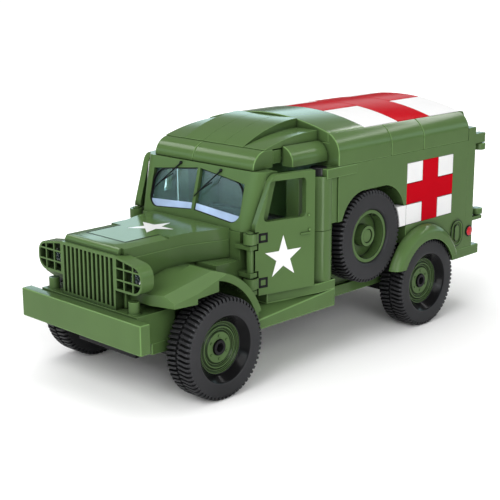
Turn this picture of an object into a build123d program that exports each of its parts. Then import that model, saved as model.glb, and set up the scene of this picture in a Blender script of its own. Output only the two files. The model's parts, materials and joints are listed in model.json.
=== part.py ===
from build123d import *
from math import cos, radians, sin, sqrt
import os

# Brick-built toy ambulance lorry, about 1:35, in millimetres. +X points forward, +Y to the
# vehicle's left and +Z up; the origin is on the ground, midway along and across the model.

# Brick grid
stud = 8.0
plate = 3.2
seam = 0.12  # open joint between neighbouring bricks
running = 0.06  # radial clearance of a pin in its bore
gap = 0.4  # room between a moving piece and what it passes

# Widths
body_half = 28.0  # outer faces of the box
wall = stud
core_half = body_half - wall
cab_half = core_half
bonnet_half = 12.0
bonnet_rear_half = 16.0

# Wheels and axles
wheelbase = 88.0
front_axle_x = 48.5
rear_axle_x = front_axle_x - wheelbase
tyre_radius = 13.9
tyre_half = 4.25
tyre_proud = 2.3  # how far a road tyre stands out beyond the box's sides
wheel_y = body_half + tyre_proud - tyre_half  # middle plane of a road wheel
rim_radius = 8.0  # seat of the tyre
bead_set = 0.85  # how far the rim's ring lies inside the tyre's face
bead_half = tyre_half - bead_set
hub_radius = 3.2
hub_half = 3.0  # back end of the hub
pin_radius = 2.0
axle_block = 12.0
axle_z = tyre_radius

# Stations along the vehicle
front_overhang = 24.5
nose_x = front_axle_x + front_overhang  # front face of the bumper
bumper_depth = 3.2
bumper_back_x = nose_x - bumper_depth
box_front_x = 1.5
recess_room = 3.4  # spare room along the spare wheel's recess
recess_length = 2 * (tyre_radius + gap) + recess_room
cross_cell = stud  # length of a brick of the side cross
tail_length = stud  # wall behind the cross
frame_depth = stud / 2
box_length = recess_length + 3 * cross_cell + tail_length + frame_depth
box_rear_x = box_front_x - box_length
cowl_x = 27.0  # cab side of the cowl
cowl_front_x = 33.0
bonnet_flare_x = 46.0  # where the bonnet starts to widen
deck_z = 20.4  # top of the floor, where the brick walls start

sides = (("left", 1), ("right", -1))


def level(count):
    """Height of a brick joint, counted in plates from the floor's top."""
    return deck_z + count * plate


def block(x0, x1, y0, y1, z0, z1, mode=Mode.ADD):
    """Straight brick between two corners."""
    with Locations(((x0 + x1) / 2, (y0 + y1) / 2, (z0 + z1) / 2)):
        Box(abs(x1 - x0), abs(y1 - y0), abs(z1 - z0), mode=mode)


def rod_y(x, z, radius, y0, y1, mode=Mode.ADD):
    """Round bar across the vehicle."""
    with Locations(Location((x, (y0 + y1) / 2, z), (90, 0, 0))):
        Cylinder(radius, abs(y1 - y0), mode=mode)


def rod_z(x, y, radius, z0, z1, mode=Mode.ADD):
    """Upright round bar."""
    with Locations((x, y, (z0 + z1) / 2)):
        Cylinder(radius, abs(z1 - z0), mode=mode)


def side_outline(points, y0, y1, mode=Mode.ADD):
    """Side view outline of (x, z) points, extruded across from y0 to y1."""
    with BuildSketch(Plane.XZ.offset(-max(y0, y1))) as outline:
        with BuildLine():
            Polyline(*points, close=True)
        make_face()
    extrude(outline.sketch, amount=abs(y1 - y0), mode=mode)


def end_outline(points, x0, x1, mode=Mode.ADD):
    """End view outline of (y, z) points, extruded along from x0 to x1."""
    with BuildSketch(Plane.YZ.offset(min(x0, x1))) as outline:
        with BuildLine():
            Polyline(*points, close=True)
        make_face()
    extrude(outline.sketch, amount=abs(x1 - x0), mode=mode)


def save(builder, name):
    """Label a finished piece and write its file."""
    builder.part.label = name
    export_step(builder.part, f"parts/{name}.step")


def save_pair(builder, name):
    """Write a left-hand piece and its mirror image."""
    with BuildPart() as opposite:
        mirror(builder.part, about=Plane.XZ)
    save(builder, f"{name}_left")
    save(opposite, f"{name}_right")


os.makedirs("parts", exist_ok=True)

# Floor: two plates, the upper one narrower, with the sills beside it
floor_z = level(-2)
sub_deck_z = level(-1)
floor_set = 4.8  # floor's front end behind the bumper
chassis_front_x = bumper_back_x - floor_set
step_depth = 10.5  # how far the rear step reaches under the box
step_front_x = box_rear_x + step_depth
deck_inset = 1.5
deck_half = core_half - deck_inset
scuttle_x = 42.0  # front of the brick filling below the bonnet's rear

with BuildPart() as floor:
    block(box_rear_x, chassis_front_x, -core_half, core_half, floor_z, sub_deck_z)
    block(step_front_x, scuttle_x, -deck_half, deck_half, sub_deck_z, deck_z)
save(floor, "floor")

# Chassis beams between the axle blocks
chassis_half = 1.5 * stud
chassis_z = level(-3)
chassis_inset = 4.5
beam_set = 1.0
chassis_rear_x = box_rear_x + chassis_inset
beams = (
    # rear end, front end
    (chassis_rear_x, rear_axle_x - axle_block / 2),
    (rear_axle_x + axle_block / 2, front_axle_x - axle_block / 2),
    (front_axle_x + axle_block / 2, chassis_front_x - beam_set),
)
with BuildPart() as chassis:
    for rear_end, front_end in beams:
        block(rear_end, front_end, -chassis_half, chassis_half, chassis_z, floor_z)
save(chassis, "chassis")

# Wheel rims: a stepped face, set back in the tyre, and a deep dish with the hub behind it
rim_set = 1.6  # how far the rim's face lies inside that again
rim_face = bead_half - rim_set
web_back = -0.2
dish_radius = 6.7
rim_chamfer = 0.4
rim_centre_drop = 0.35
rim_steps = (
    # radius, depth below the rim's face
    (7.2, 0.0), (6.7, 0.0), (6.5, 0.5), (6.0, 0.5), (5.8, 0.2), (5.2, 0.2), (5.0, 0.7), (4.5, 0.7),
    (4.3, rim_centre_drop),
)


def turn_rim(x, y, z, sign, bore):
    """Rim outline of (radius, axial) points, turned about a cross axis."""
    outline = [
        (bore, -hub_half), (hub_radius, -hub_half), (hub_radius, web_back), (dish_radius, web_back),
        (dish_radius, -bead_half), (rim_radius, -bead_half), (rim_radius, rim_face - rim_chamfer),
    ]
    outline += [(radius, rim_face - depth) for radius, depth in rim_steps]
    outline.append((bore, rim_face - rim_centre_drop))
    with BuildSketch(Plane((x, y, z))) as section:
        with BuildLine():
            Polyline(*((radius, sign * axial) for radius, axial in outline), close=True)
        make_face()
    revolve(section.sketch, axis=Axis((x, y, z), (0, 1, 0)))


# Tyres: flat side walls inside a ring of cross lugs
lug_count = 48
lug_share = 0.6  # share of the pitch that a lug takes
lug_depth = 0.8


def lug_corners():
    """Corners of the tread seen from the side; the first lug is flat on the ground."""
    pitch = 360 / lug_count
    half = lug_share * pitch / 2
    tip = tyre_radius / cos(radians(half))
    root = tyre_radius - lug_depth
    lug = ((root, -half), (tip, -half), (tip, half), (root, half))
    return [
        (radius * sin(radians(count * pitch + turn)), -radius * cos(radians(count * pitch + turn)))
        for count in range(lug_count) for radius, turn in lug
    ]


def tyre_block(x, y, z):
    """Tyre about a cross axis, with its lugged outline cut right across."""
    with BuildSketch(Plane((x, y + tyre_half, z), x_dir=(1, 0, 0), z_dir=(0, -1, 0))) as outline:
        with BuildLine():
            Polyline(*lug_corners(), close=True)
        make_face()
        Circle(rim_radius, mode=Mode.SUBTRACT)
    extrude(outline.sketch, amount=2 * tyre_half)


# Axle blocks with a collar and a hollow wheel pin at each end
collar_radius = 3.3
collar_end_y = wheel_y - hub_half - gap
pin_proud = 0.5
pin_end_y = wheel_y + rim_face - rim_centre_drop + pin_proud
pin_bore = 1.2
pin_bore_depth = 2.0
for axle_name, axle_x in (("front_axle", front_axle_x), ("rear_axle", rear_axle_x)):
    with BuildPart() as axle:
        block(
            axle_x - axle_block / 2, axle_x + axle_block / 2,
            -core_half, core_half, axle_z - pin_radius * 2, floor_z,
        )
        for _, sign in sides:
            rod_y(axle_x, axle_z, collar_radius, sign * core_half, sign * collar_end_y)
            rod_y(axle_x, axle_z, pin_radius, sign * core_half, sign * pin_end_y)
            rod_y(
                axle_x, axle_z, pin_bore, sign * (pin_end_y - pin_bore_depth), sign * pin_end_y,
                mode=Mode.SUBTRACT,
            )
    save(axle, axle_name)

wheels = (
    # name, axle, side
    ("front_left", front_axle_x, 1),
    ("front_right", front_axle_x, -1),
    ("rear_left", rear_axle_x, 1),
    ("rear_right", rear_axle_x, -1),
)
for wheel_name, axle_x, sign in wheels:
    with BuildPart() as rim:
        turn_rim(axle_x, sign * wheel_y, axle_z, sign, pin_radius + running)
    save(rim, f"rim_{wheel_name}")
    with BuildPart() as tyre:
        tyre_block(axle_x, sign * wheel_y, axle_z)
    save(tyre, f"tyre_{wheel_name}")

# Spare wheel, back to front on a peg in the left wall's recess
spare_set = 14.6  # spare wheel's centre behind the box's front
spare_x = box_front_x - spare_set
spare_rise = 12.5
spare_z = deck_z + spare_rise
spare_proud = 0.5
spare_y = body_half + spare_proud - tyre_half
panel_y = spare_y - tyre_half - gap
panel_thick = plate
peg_set = 0.3  # how far the peg's end lies inside the hub
recess_rear_x = box_front_x - recess_length
recess_top_z = spare_z + tyre_radius + gap

with BuildPart() as spare_mount:
    block(recess_rear_x, box_front_x - plate, panel_y - panel_thick, panel_y, deck_z, recess_top_z + plate)
    rod_y(spare_x, spare_z, pin_radius, panel_y, spare_y + hub_half - peg_set)
save(spare_mount, "spare_mount")
with BuildPart() as spare_rim:
    turn_rim(spare_x, spare_y, spare_z, -1, pin_radius)
save(spare_rim, "spare_rim")
with BuildPart() as spare_tyre:
    tyre_block(spare_x, spare_y, spare_z)
save(spare_tyre, "spare_tyre")

# Bumper
bumper_inset = 3.0
bumper_half = body_half - bumper_inset
bumper_z = 16.8
bumper_top_z = 24.8
with BuildPart() as bumper:
    block(bumper_back_x, nose_x, -bumper_half, bumper_half, bumper_z, bumper_top_z)
save(bumper, "front_bumper")

# Nose block between the bumper and the chassis, with two short round posts
nose_top_z = 25.2
nose_length = 12.8
nose_rear_x = bumper_back_x - nose_length
post_set = 1.9  # posts' middle behind the bumper's back
post_x = bumper_back_x - post_set
post_inset = 3.2
post_y = core_half - post_inset
post_radius = 1.45
post_top_z = nose_top_z + plate
with BuildPart() as nose_block:
    block(nose_rear_x, bumper_back_x, -core_half, core_half, sub_deck_z, nose_top_z)
    for _, sign in sides:
        rod_z(post_x, sign * post_y, post_radius, nose_top_z, post_top_z)
save(nose_block, "nose_block")

# Grille with a lamp guard at each side
grille_set = 0.6  # grille's face behind the bumper's back
grille_x = bumper_back_x - grille_set
grille_depth = 2.6
grille_back_x = grille_x - grille_depth
grille_half = 11.1
grille_top_z = 39.6
grille_rim = 0.8
slot_count = 12
bar_width = 0.75
guard_half = 21.6
guard_z = 30.5
guard_inner_top_z = 39.5
guard_outer_top_z = 38.0
guard_depth = 4.0
guard_skin = 0.6
guard_bar = 0.45
guard_round = 3.4
slot_pitch = (2 * (grille_half - grille_rim) + bar_width) / slot_count
guard_back_x = grille_x - guard_depth


def guard_face(inset):
    """End view of the left lamp guard, set in from its outer edge."""
    inner_y = grille_half + inset
    outer_y = guard_half - inset
    with BuildLine() as edge:
        Polyline(
            (inner_y, guard_z + inset), (outer_y, guard_z + inset),
            (outer_y, guard_outer_top_z - inset), (inner_y, guard_inner_top_z - inset), close=True,
        )
    face = make_face(edge.edges())
    fillet(face.vertices().group_by(Axis.X)[-1], guard_round - inset)


with BuildPart() as lamp_guard:
    with BuildSketch(Plane.YZ.offset(guard_back_x)):
        guard_face(0)
    extrude(amount=guard_depth)
    with BuildSketch(Plane.YZ.offset(guard_back_x + guard_skin)):
        guard_face(guard_skin)
    extrude(amount=guard_depth - 2 * guard_skin, mode=Mode.SUBTRACT)
    with BuildSketch(Plane.YZ.offset(grille_x - guard_skin)):
        guard_face(guard_skin)
        with Locations(((grille_half + guard_half) / 2, (guard_z + guard_inner_top_z) / 2)):
            with GridLocations((guard_half - grille_half) / 3, 1, 2, 1):
                Rectangle(guard_bar, stud * 2, mode=Mode.SUBTRACT)
            with GridLocations(1, (guard_inner_top_z - guard_z) / 3, 1, 2):
                Rectangle(stud * 2, guard_bar, mode=Mode.SUBTRACT)
    extrude(amount=guard_skin, mode=Mode.SUBTRACT)
    block(guard_back_x, grille_back_x, 0, bonnet_half, guard_z, guard_inner_top_z, mode=Mode.SUBTRACT)

with BuildPart() as grille:
    block(grille_back_x, grille_x, -grille_half, grille_half, nose_top_z, grille_top_z)
    with Locations((grille_back_x + grille_depth / 2, 0, (nose_top_z + grille_top_z) / 2)):
        with GridLocations(1, slot_pitch, 1, slot_count):
            Box(
                grille_depth, slot_pitch - bar_width, grille_top_z - nose_top_z - 2 * grille_rim,
                mode=Mode.SUBTRACT,
            )
    add(lamp_guard.part)
    mirror(lamp_guard.part, about=Plane.XZ)
save(grille, "grille")

# Headlamps behind the guards
lamp_y = (grille_half + guard_half) / 2
lamp_rise = 3.6  # lamp's middle above the guard's foot
lamp_z = guard_z + lamp_rise
lamp_radius = 2.0
lamp_length = 1.7
with BuildPart() as headlamps:
    for _, sign in sides:
        lamp_x = guard_back_x + guard_skin + lamp_length / 2
        with Locations(Location((lamp_x, sign * lamp_y, lamp_z), (0, 90, 0))):
            Cylinder(lamp_radius, lamp_length)
save(headlamps, "headlamps")

# Bonnet: a core, a flared rear part and a top with a rounded nose, a middle panel and sloping sides
bonnet_top_z = 41.5
bonnet_side_z = level(4)
bonnet_cap_z = 38.4
bonnet_nose_set = 1.2
bonnet_nose_x = grille_x - bonnet_nose_set
nose_round = 1.8
panel_half = stud
panel_set = 4.9  # middle panel behind the bonnet's nose
panel_front_x = bonnet_nose_x - panel_set
panel_length = 11.8
panel_rear_x = panel_front_x - panel_length
side_drop = 0.5  # how far the bonnet's sides slope down
groove = 0.3
with BuildPart() as bonnet:
    block(scuttle_x, nose_rear_x, -bonnet_half, bonnet_half, sub_deck_z, bonnet_side_z)
    block(nose_rear_x, grille_back_x, -bonnet_half, bonnet_half, nose_top_z, bonnet_side_z)
    block(bonnet_flare_x, grille_back_x, -bonnet_half, bonnet_half, bonnet_side_z, bonnet_cap_z)
    with BuildSketch(Plane.XY.offset(bonnet_side_z)):
        with BuildLine():
            Polyline(
                (bonnet_flare_x, bonnet_half), (bonnet_flare_x, -bonnet_half),
                (cowl_front_x, -bonnet_rear_half), (cowl_front_x, bonnet_rear_half), close=True,
            )
        make_face()
    extrude(amount=bonnet_cap_z - bonnet_side_z)
save(bonnet, "bonnet")

with BuildPart() as bonnet_top:
    with BuildSketch(Plane.XY.offset(bonnet_cap_z)):
        with BuildLine():
            Polyline(
                (grille_back_x, bonnet_half), (bonnet_flare_x, bonnet_half), (cowl_front_x, bonnet_rear_half),
                (cowl_front_x, -bonnet_rear_half), (bonnet_flare_x, -bonnet_half),
                (grille_back_x, -bonnet_half), close=True,
            )
        make_face()
    extrude(amount=bonnet_top_z - bonnet_cap_z)
    block(grille_back_x, bonnet_nose_x, -grille_half, grille_half, grille_top_z, bonnet_top_z)
    nose_edge = bonnet_top.edges().filter_by(Axis.Y).group_by(Axis.X)[-1].sort_by(Axis.Z)[-1]
    fillet(nose_edge, nose_round)
    for _, sign in sides:
        end_outline(
            (
                (sign * panel_half, bonnet_top_z), (sign * bonnet_half, bonnet_top_z),
                (sign * bonnet_half, bonnet_top_z - side_drop),
            ),
            panel_rear_x, bonnet_nose_x, mode=Mode.SUBTRACT,
        )
        block(
            panel_rear_x, panel_front_x, sign * panel_half, sign * (panel_half - groove),
            bonnet_top_z - groove, bonnet_top_z, mode=Mode.SUBTRACT,
        )
    block(
        panel_front_x - groove, panel_front_x, -panel_half, panel_half,
        bonnet_top_z - groove, bonnet_top_z, mode=Mode.SUBTRACT,
    )
save(bonnet_top, "bonnet_top")

# Running boards, with a slanted top and the door sill
board_tyre_room = 0.6  # room between the board's front end and the tyre
board_box_room = 0.8  # room between its rear end and the box's front
board_lift = 0.6
board_x = front_axle_x - tyre_radius - board_tyre_room
board_rear_x = box_front_x + board_box_room
board_z = floor_z + board_lift
board_edge_z = 18.0
board_bevel = 0.7
board_set = 1.4
wedge_width = 4.0  # how far in the wedge reaches at its front end
step_outline = (
    # y, z
    (core_half, board_z), (body_half - board_set, board_z), (body_half, board_z + board_bevel),
    (body_half, deck_z), (core_half, deck_z),
)
pillar_gap = 0.1
pillar_radius = stud / 2
pillar_x = box_front_x + pillar_radius + pillar_gap
sill_front_width = 4.4
sill_drop = 0.4  # sill's top below the door's foot
sill_z = level(1) - sill_drop
wedge_corner = Vector(board_x, body_half, board_edge_z)
wedge_inner = Vector(board_x, body_half - wedge_width, deck_z)
wedge_rear = Vector(board_rear_x, body_half, deck_z)
wedge_plane = Plane(
    origin=wedge_corner,
    x_dir=wedge_rear - wedge_corner,
    z_dir=(wedge_rear - wedge_corner).cross(wedge_inner - wedge_corner),
)
with BuildPart() as running_board:
    end_outline(step_outline, board_rear_x, board_x)
    split(bisect_by=wedge_plane, keep=Keep.BOTTOM)
    with BuildSketch(Plane.XY.offset(deck_z)):
        with BuildLine():
            Polyline(
                (board_rear_x, core_half), (board_rear_x, body_half), (pillar_x + pillar_radius, body_half),
                (cowl_x, core_half + sill_front_width), (cowl_x, core_half), close=True,
            )
        make_face()
    extrude(amount=sill_z - deck_z)
save_pair(running_board, "running_board")

# Front fenders: a swept arch behind the wheel and a wedge ahead of it
arch_ahead = 4.5  # arch's centre ahead of the axle and below it
arch_below = 0.5
arch_x = front_axle_x + arch_ahead
arch_z = axle_z - arch_below
front_arch_room = 5.3  # room between the tyre and the arch
arch_radius = tyre_radius + front_arch_room
arch_thick = 2.1
fender_foot_z = 18.0
fender_crown_ahead = 0.2
fender_crown_x = front_axle_x + fender_crown_ahead
fender_sweep = 2.1  # how far the fender's front edge lies back at its outer end
fender_set = 4.5  # fender's front end behind the bumper
fender_front_x = bumper_back_x - fender_set
fender_front_z = 30.2
fender_lip_z = 27.4
fender_step = 7.7
fender_step_x = front_axle_x + fender_step


def arch_height(radius, x):
    """Height of the front arch circle at a station."""
    return arch_z + sqrt(radius**2 - (x - arch_x) ** 2)


def arch_station(radius, z):
    """Rear station of the front arch circle at a height."""
    return arch_x - sqrt(radius**2 - (z - arch_z) ** 2)


def arc_middle(radius, start, end):
    """Point of the front arch circle midway between two of its points."""
    middle = Vector((start[0] + end[0]) / 2 - arch_x, (start[1] + end[1]) / 2 - arch_z)
    middle = middle.normalized() * radius
    return (arch_x + middle.X, arch_z + middle.Y)


outer_arch = arch_radius + arch_thick
inner_foot = (arch_station(arch_radius, fender_foot_z), fender_foot_z)
outer_foot = (arch_station(outer_arch, fender_foot_z), fender_foot_z)
inner_crown = (fender_crown_x, arch_height(arch_radius, fender_crown_x))
outer_crown = (fender_crown_x, arch_height(outer_arch, fender_crown_x))
with BuildPart() as front_fender:
    with BuildSketch(Plane.XZ.offset(-body_half)):
        with BuildLine():
            ThreePointArc(outer_foot, arc_middle(outer_arch, outer_foot, outer_crown), outer_crown)
            Polyline(
                outer_crown, (fender_front_x, fender_front_z), (fender_front_x, fender_lip_z),
                (fender_step_x, fender_lip_z), (fender_step_x, fender_lip_z + 1.4),
                (fender_crown_x, fender_lip_z + 1.8), inner_crown,
            )
            ThreePointArc(inner_crown, arc_middle(arch_radius, inner_crown, inner_foot), inner_foot)
            Line(inner_foot, outer_foot)
        make_face()
    extrude(amount=body_half - bonnet_half)
    block(
        fender_front_x, scuttle_x - stud, bonnet_half, bonnet_rear_half + 1, bonnet_side_z, level(6),
        mode=Mode.SUBTRACT,
    )
    end_outline(step_outline, board_rear_x, board_x, mode=Mode.SUBTRACT)
    block(outer_foot[0] - 1, scuttle_x, bonnet_half, core_half, floor_z, deck_z, mode=Mode.SUBTRACT)
    with BuildSketch(Plane.XY):
        with BuildLine():
            Polyline(
                (fender_front_x + 1, core_half), (fender_front_x + 1, body_half + 1),
                (fender_step_x, body_half + 1), (fender_step_x, body_half),
                (fender_front_x - fender_sweep, body_half - 1), (fender_front_x, core_half), close=True,
            )
        make_face()
    extrude(amount=level(8), mode=Mode.SUBTRACT)
    slope_plane = Plane(
        origin=(fender_step_x, body_half, fender_front_z), z_dir=(0.25, 0.55, 0.8), x_dir=(0, 0.8, -0.55)
    )
    split(bisect_by=slope_plane, keep=Keep.BOTTOM)
save_pair(front_fender, "front_fender")

# Cowl with the filling under the bonnet's rear and the upright bars that the cab doors clip to
windscreen_z = 40.8
door_axis_x = 32.6
door_axis_out = 3.5
door_axis_y = cab_half + door_axis_out
bar_radius = 1.0
bar_top_z = 41.4
bracket_half = 1.3
brackets = (
    # lower, upper height
    (24.0, 25.2),
    (29.0, 30.2),
    (36.6, 37.8),
)
with BuildPart() as cowl:
    block(cowl_x, cowl_front_x, -cab_half, cab_half, deck_z, windscreen_z)
    block(cowl_front_x, scuttle_x, -core_half, core_half, deck_z, bonnet_side_z)
    rod_y(arch_x, arch_z, outer_arch + seam, -body_half, body_half, mode=Mode.SUBTRACT)
    for _, sign in sides:
        for lower, upper in brackets:
            block(
                door_axis_x - bracket_half, door_axis_x + bracket_half, sign * (cab_half - 1),
                sign * (door_axis_y + bracket_half), lower, upper,
            )
        rod_z(door_axis_x, sign * door_axis_y, bar_radius, brackets[0][0], bar_top_z)
save(cowl, "cowl")

# Windscreen: a leaning frame with rounded sides and two panes
clip_radius = 1.9
clips = (
    # lower, upper height
    (25.6, 28.6),
    (38.2, 41.0),
)
screen_lean = 14.0
screen_front_x = 32.6  # frame's front at its foot
screen_height = 16.0
screen_top_z = windscreen_z + screen_height
screen_thick = 5.6
screen_round = 4.4
pane_inset = 1.5  # pane's side edge inside the cab's side
pane_half = cab_half - pane_inset
pane_low = 1.5  # heights of a pane's corners above the frame's foot
pane_mid = 3.1
pane_side_top = 12.5
pane_top = 14.7
pane_foot_round = 3.2
pane_head_round = 5.0
screen_bar = 1.1
glass_thick = 0.8
glass_back = 1.0  # how far the panes lie behind the frame's face
door_turn = 12.9  # the cab door's outward slant in plan
door_thick = 2.0
door_set = 1.1  # the door's outer face beyond the hinge bar
door_plane = Plane(
    origin=(door_axis_x, door_axis_y, 0),
    x_dir=(-cos(radians(door_turn)), sin(radians(door_turn)), 0),
    z_dir=(sin(radians(door_turn)), cos(radians(door_turn)), 0),
)
screen_plane = Plane(
    origin=(screen_front_x, 0, windscreen_z),
    x_dir=(0, 1, 0),
    z_dir=(cos(radians(screen_lean)), 0, sin(radians(screen_lean))),
)


def up_screen(height):
    """Distance up the leaning windscreen for a height above its foot."""
    return height / cos(radians(screen_lean))


def pane_outline():
    """Left pane of the windscreen, in the frame's own plane."""
    with BuildLine() as edge:
        Polyline(
            (screen_bar / 2, up_screen(pane_mid)), (pane_half, up_screen(pane_low)),
            (pane_half, up_screen(pane_side_top)), (screen_bar / 2, up_screen(pane_top)), close=True,
        )
    face = make_face(edge.edges())
    foot, head = face.vertices().group_by(Axis.X)[-1].sort_by(Axis.Y)
    fillet(foot, pane_foot_round)
    fillet(head, pane_head_round)


with BuildPart() as windscreen_glass:
    with BuildSketch(screen_plane.offset(-glass_back)):
        pane_outline()
    extrude(amount=-glass_thick)
    mirror(about=Plane.XZ)
save(windscreen_glass, "windscreen_glass")

with BuildPart() as windscreen_frame:
    with BuildSketch(screen_plane):
        Rectangle(body_half, up_screen(screen_height + plate), align=(Align.MIN, Align.MIN))
    extrude(amount=-screen_thick)
    split(bisect_by=door_plane.offset(door_set - door_thick - gap), keep=Keep.BOTTOM)
    front_face = windscreen_frame.faces().filter_by(screen_plane).sort_by(Axis.X)[-1]
    fillet(front_face.edges().sort_by(Axis.Y)[-1], screen_round)
    mirror(about=Plane.XZ)
    block(cowl_x - stud, nose_x, -body_half, body_half, windscreen_z - stud, windscreen_z, mode=Mode.SUBTRACT)
    block(cowl_x - stud, nose_x, -body_half, body_half, screen_top_z, screen_top_z + stud, mode=Mode.SUBTRACT)
    for _, sign in sides:
        rod_z(
            door_axis_x, sign * door_axis_y, clip_radius + gap, windscreen_z, clips[-1][1] + gap,
            mode=Mode.SUBTRACT,
        )
    with BuildSketch(screen_plane):
        pane_outline()
        mirror(about=Plane.YZ)
    extrude(amount=-screen_thick * 2, mode=Mode.SUBTRACT)
save(windscreen_frame, "windscreen_frame")

# Wipers, hung from the windscreen's head
wiper_width = 0.7
wiper_thick = 0.5
wipers = (
    # head y, height above the frame's foot; tip y, height
    (8.8, 15.0, -0.2, 6.9),
    (-7.5, 15.2, -16.8, 7.2),
)
with BuildPart() as wiper_arms:
    for head_y, head, tip_y, tip in wipers:
        with BuildSketch(screen_plane):
            with BuildLine():
                Line((head_y, up_screen(head)), (tip_y, up_screen(tip)))
            trace(line_width=wiper_width)
        extrude(amount=wiper_thick)
save(wiper_arms, "wipers")

# Cab interior: seats, dashboard and steering wheel
seat_gap = 5.0
seat_inset = 2.0
seat_half = (deck_half - seat_inset - seat_gap / 2) / 2
seat_y = seat_gap / 2 + seat_half
seat_front_x = 16.0
seat_rear_x = 6.0
seat_z = level(2)
back_top_z = level(6)
back_thick = 3.0
dash_depth = 4.0
dash_z = level(4)
dash_top_z = level(6)
with BuildPart() as seats:
    for _, sign in sides:
        block(
            seat_rear_x, seat_front_x, sign * seat_y - seat_half, sign * seat_y + seat_half, deck_z, seat_z,
        )
        block(
            seat_rear_x, seat_rear_x + back_thick, sign * seat_y - seat_half, sign * seat_y + seat_half,
            seat_z, back_top_z,
        )
save(seats, "seats")

with BuildPart() as dashboard:
    block(cowl_x - dash_depth, cowl_x, -deck_half, deck_half, dash_z, dash_top_z)
save(dashboard, "dashboard")

wheel_lean = 30.0
hand_radius = 4.5
hand_thick = 0.9
column_length = 3.4
column_radius = 1.0
steering_plane = Plane(
    origin=(cowl_x - dash_depth, seat_y, (dash_z + dash_top_z) / 2),
    x_dir=(0, 1, 0),
    z_dir=(-cos(radians(wheel_lean)), 0, sin(radians(wheel_lean))),
)
with BuildPart() as steering_wheel:
    with BuildSketch(steering_plane):
        Circle(column_radius)
    extrude(amount=column_length)
    with BuildSketch(steering_plane.offset(column_length)):
        Circle(hand_radius)
        Circle(hand_radius - hand_thick, mode=Mode.SUBTRACT)
        Rectangle(2 * hand_radius - hand_thick, 1.2)
        Circle(1.4)
    extrude(amount=hand_thick)
    block(cowl_x - dash_depth, cowl_x, seat_y - stud, seat_y + stud, dash_z, dash_top_z, mode=Mode.SUBTRACT)
save(steering_wheel, "steering_wheel")

# Cab doors, hung on the cowl's bars and standing a little outwards
door_width = 19.8
door_z = level(1)
door_head_gap = 0.4
door_top_z = screen_top_z - door_head_gap
door_round = 3.0
window_sill = 3.0
window_z = windscreen_z + window_sill
window_head = 1.7
window_top_z = door_top_z - window_head
window_front = 3.4
window_rear = 17.6
window_round = 1.2
screen_edge_rise = 1.2
screen_edge_z = windscreen_z + screen_edge_rise
screen_edge_run = 5.8  # how far the door's front edge leans back
window_run = 2.4
clip_seat = 0.9  # middle of a clip's pad, behind the clip's edge
door_front = 0.7
bracket_reach = bracket_half * sqrt(2)
with BuildPart() as cab_door:
    with BuildSketch(door_plane.offset(door_set)) as panel:
        with BuildLine():
            Polyline(
                (door_front, door_z), (door_front + door_width, door_z),
                (door_front + door_width, door_top_z),
                (door_front + screen_edge_run, door_top_z), (door_front, screen_edge_z), close=True,
            )
        make_face()
        fillet(panel.vertices().sort_by(Axis.X)[2], door_round)
    extrude(amount=-door_thick)
    with BuildSketch(door_plane.offset(door_set)) as window:
        with BuildLine():
            Polyline(
                (window_front, window_z), (window_rear, window_z), (window_rear, window_top_z),
                (window_front + window_run, window_top_z), close=True,
            )
        make_face()
        fillet(window.vertices(), window_round)
    extrude(amount=-door_thick, mode=Mode.SUBTRACT)
    for lower, upper in clips:
        rod_z(door_axis_x, door_axis_y, clip_radius + gap, lower - gap, upper + gap, mode=Mode.SUBTRACT)
    rod_z(door_axis_x, door_axis_y, bar_radius + gap, door_z, door_top_z, mode=Mode.SUBTRACT)
    for lower, upper in brackets:
        rod_z(door_axis_x, door_axis_y, bracket_reach + gap, lower - gap, upper + gap, mode=Mode.SUBTRACT)
    for lower, upper in clips:
        rod_z(door_axis_x, door_axis_y, clip_radius, lower, upper)
        with BuildSketch(door_plane.offset(door_set)):
            with Locations((clip_radius + clip_seat, (lower + upper) / 2)):
                Rectangle(clip_radius * 2, upper - lower)
        extrude(amount=-door_thick)
        rod_z(door_axis_x, door_axis_y, bar_radius + running, lower, upper, mode=Mode.SUBTRACT)
save_pair(cab_door, "cab_door")

# Half-round pillars behind the cab doors, each of two bricks and a cap
pillar_joint_z = level(5.5)
pillar_head_gap = 3.4
pillar_top_z = screen_top_z - pillar_head_gap
cap_radius = 2.4
cap_height = 2.0
lip_length = 5.0
lip_width = 4.6
pillar_rows = (
    # lower, upper height
    (sill_z, pillar_joint_z - seam),
    (pillar_joint_z, pillar_top_z),
)
with BuildPart() as pillar:
    for lower, upper in pillar_rows:
        with BuildSketch(Plane.XY.offset(lower)):
            with Locations((pillar_x, body_half - pillar_radius)):
                Circle(pillar_radius)
            with Locations((pillar_x, (core_half + body_half - pillar_radius) / 2)):
                Rectangle(2 * pillar_radius, body_half - pillar_radius - core_half)
        extrude(amount=upper - lower)
    block(
        pillar_x, pillar_x + pillar_radius + lip_length, core_half, core_half + lip_width,
        sill_z, pillar_top_z,
    )
    rod_z(pillar_x, body_half - pillar_radius, cap_radius, pillar_top_z, pillar_top_z + cap_height)
save_pair(pillar, "pillar")

# Cab roof: brow over the windscreen, curved middle and sides, and a rail over each door
brow_x = 27.8
brow_z = screen_top_z
brow_rear_x = 20.0
brow_rise = 5.1
brow_top_z = brow_z + brow_rise
brow_run = 4.6
brow_bend_back = 1.4  # bend's middle behind the front and below the top
brow_bend_down = 1.6
brow_joint_y = -4.0
with BuildPart() as brow:
    with BuildSketch(Plane.XZ.offset(-cab_half)):
        with BuildLine():
            Polyline(
                (brow_x - brow_run, brow_top_z), (brow_rear_x, brow_top_z),
                (brow_rear_x, brow_z), (brow_x, brow_z),
            )
            ThreePointArc(
                (brow_x, brow_z), (brow_x - brow_bend_back, brow_top_z - brow_bend_down),
                (brow_x - brow_run, brow_top_z),
            )
        make_face()
    extrude(amount=2 * cab_half)
    block(brow_rear_x, brow_x, brow_joint_y, brow_joint_y + seam, brow_z, brow_top_z, mode=Mode.SUBTRACT)
save(brow, "brow")

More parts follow.
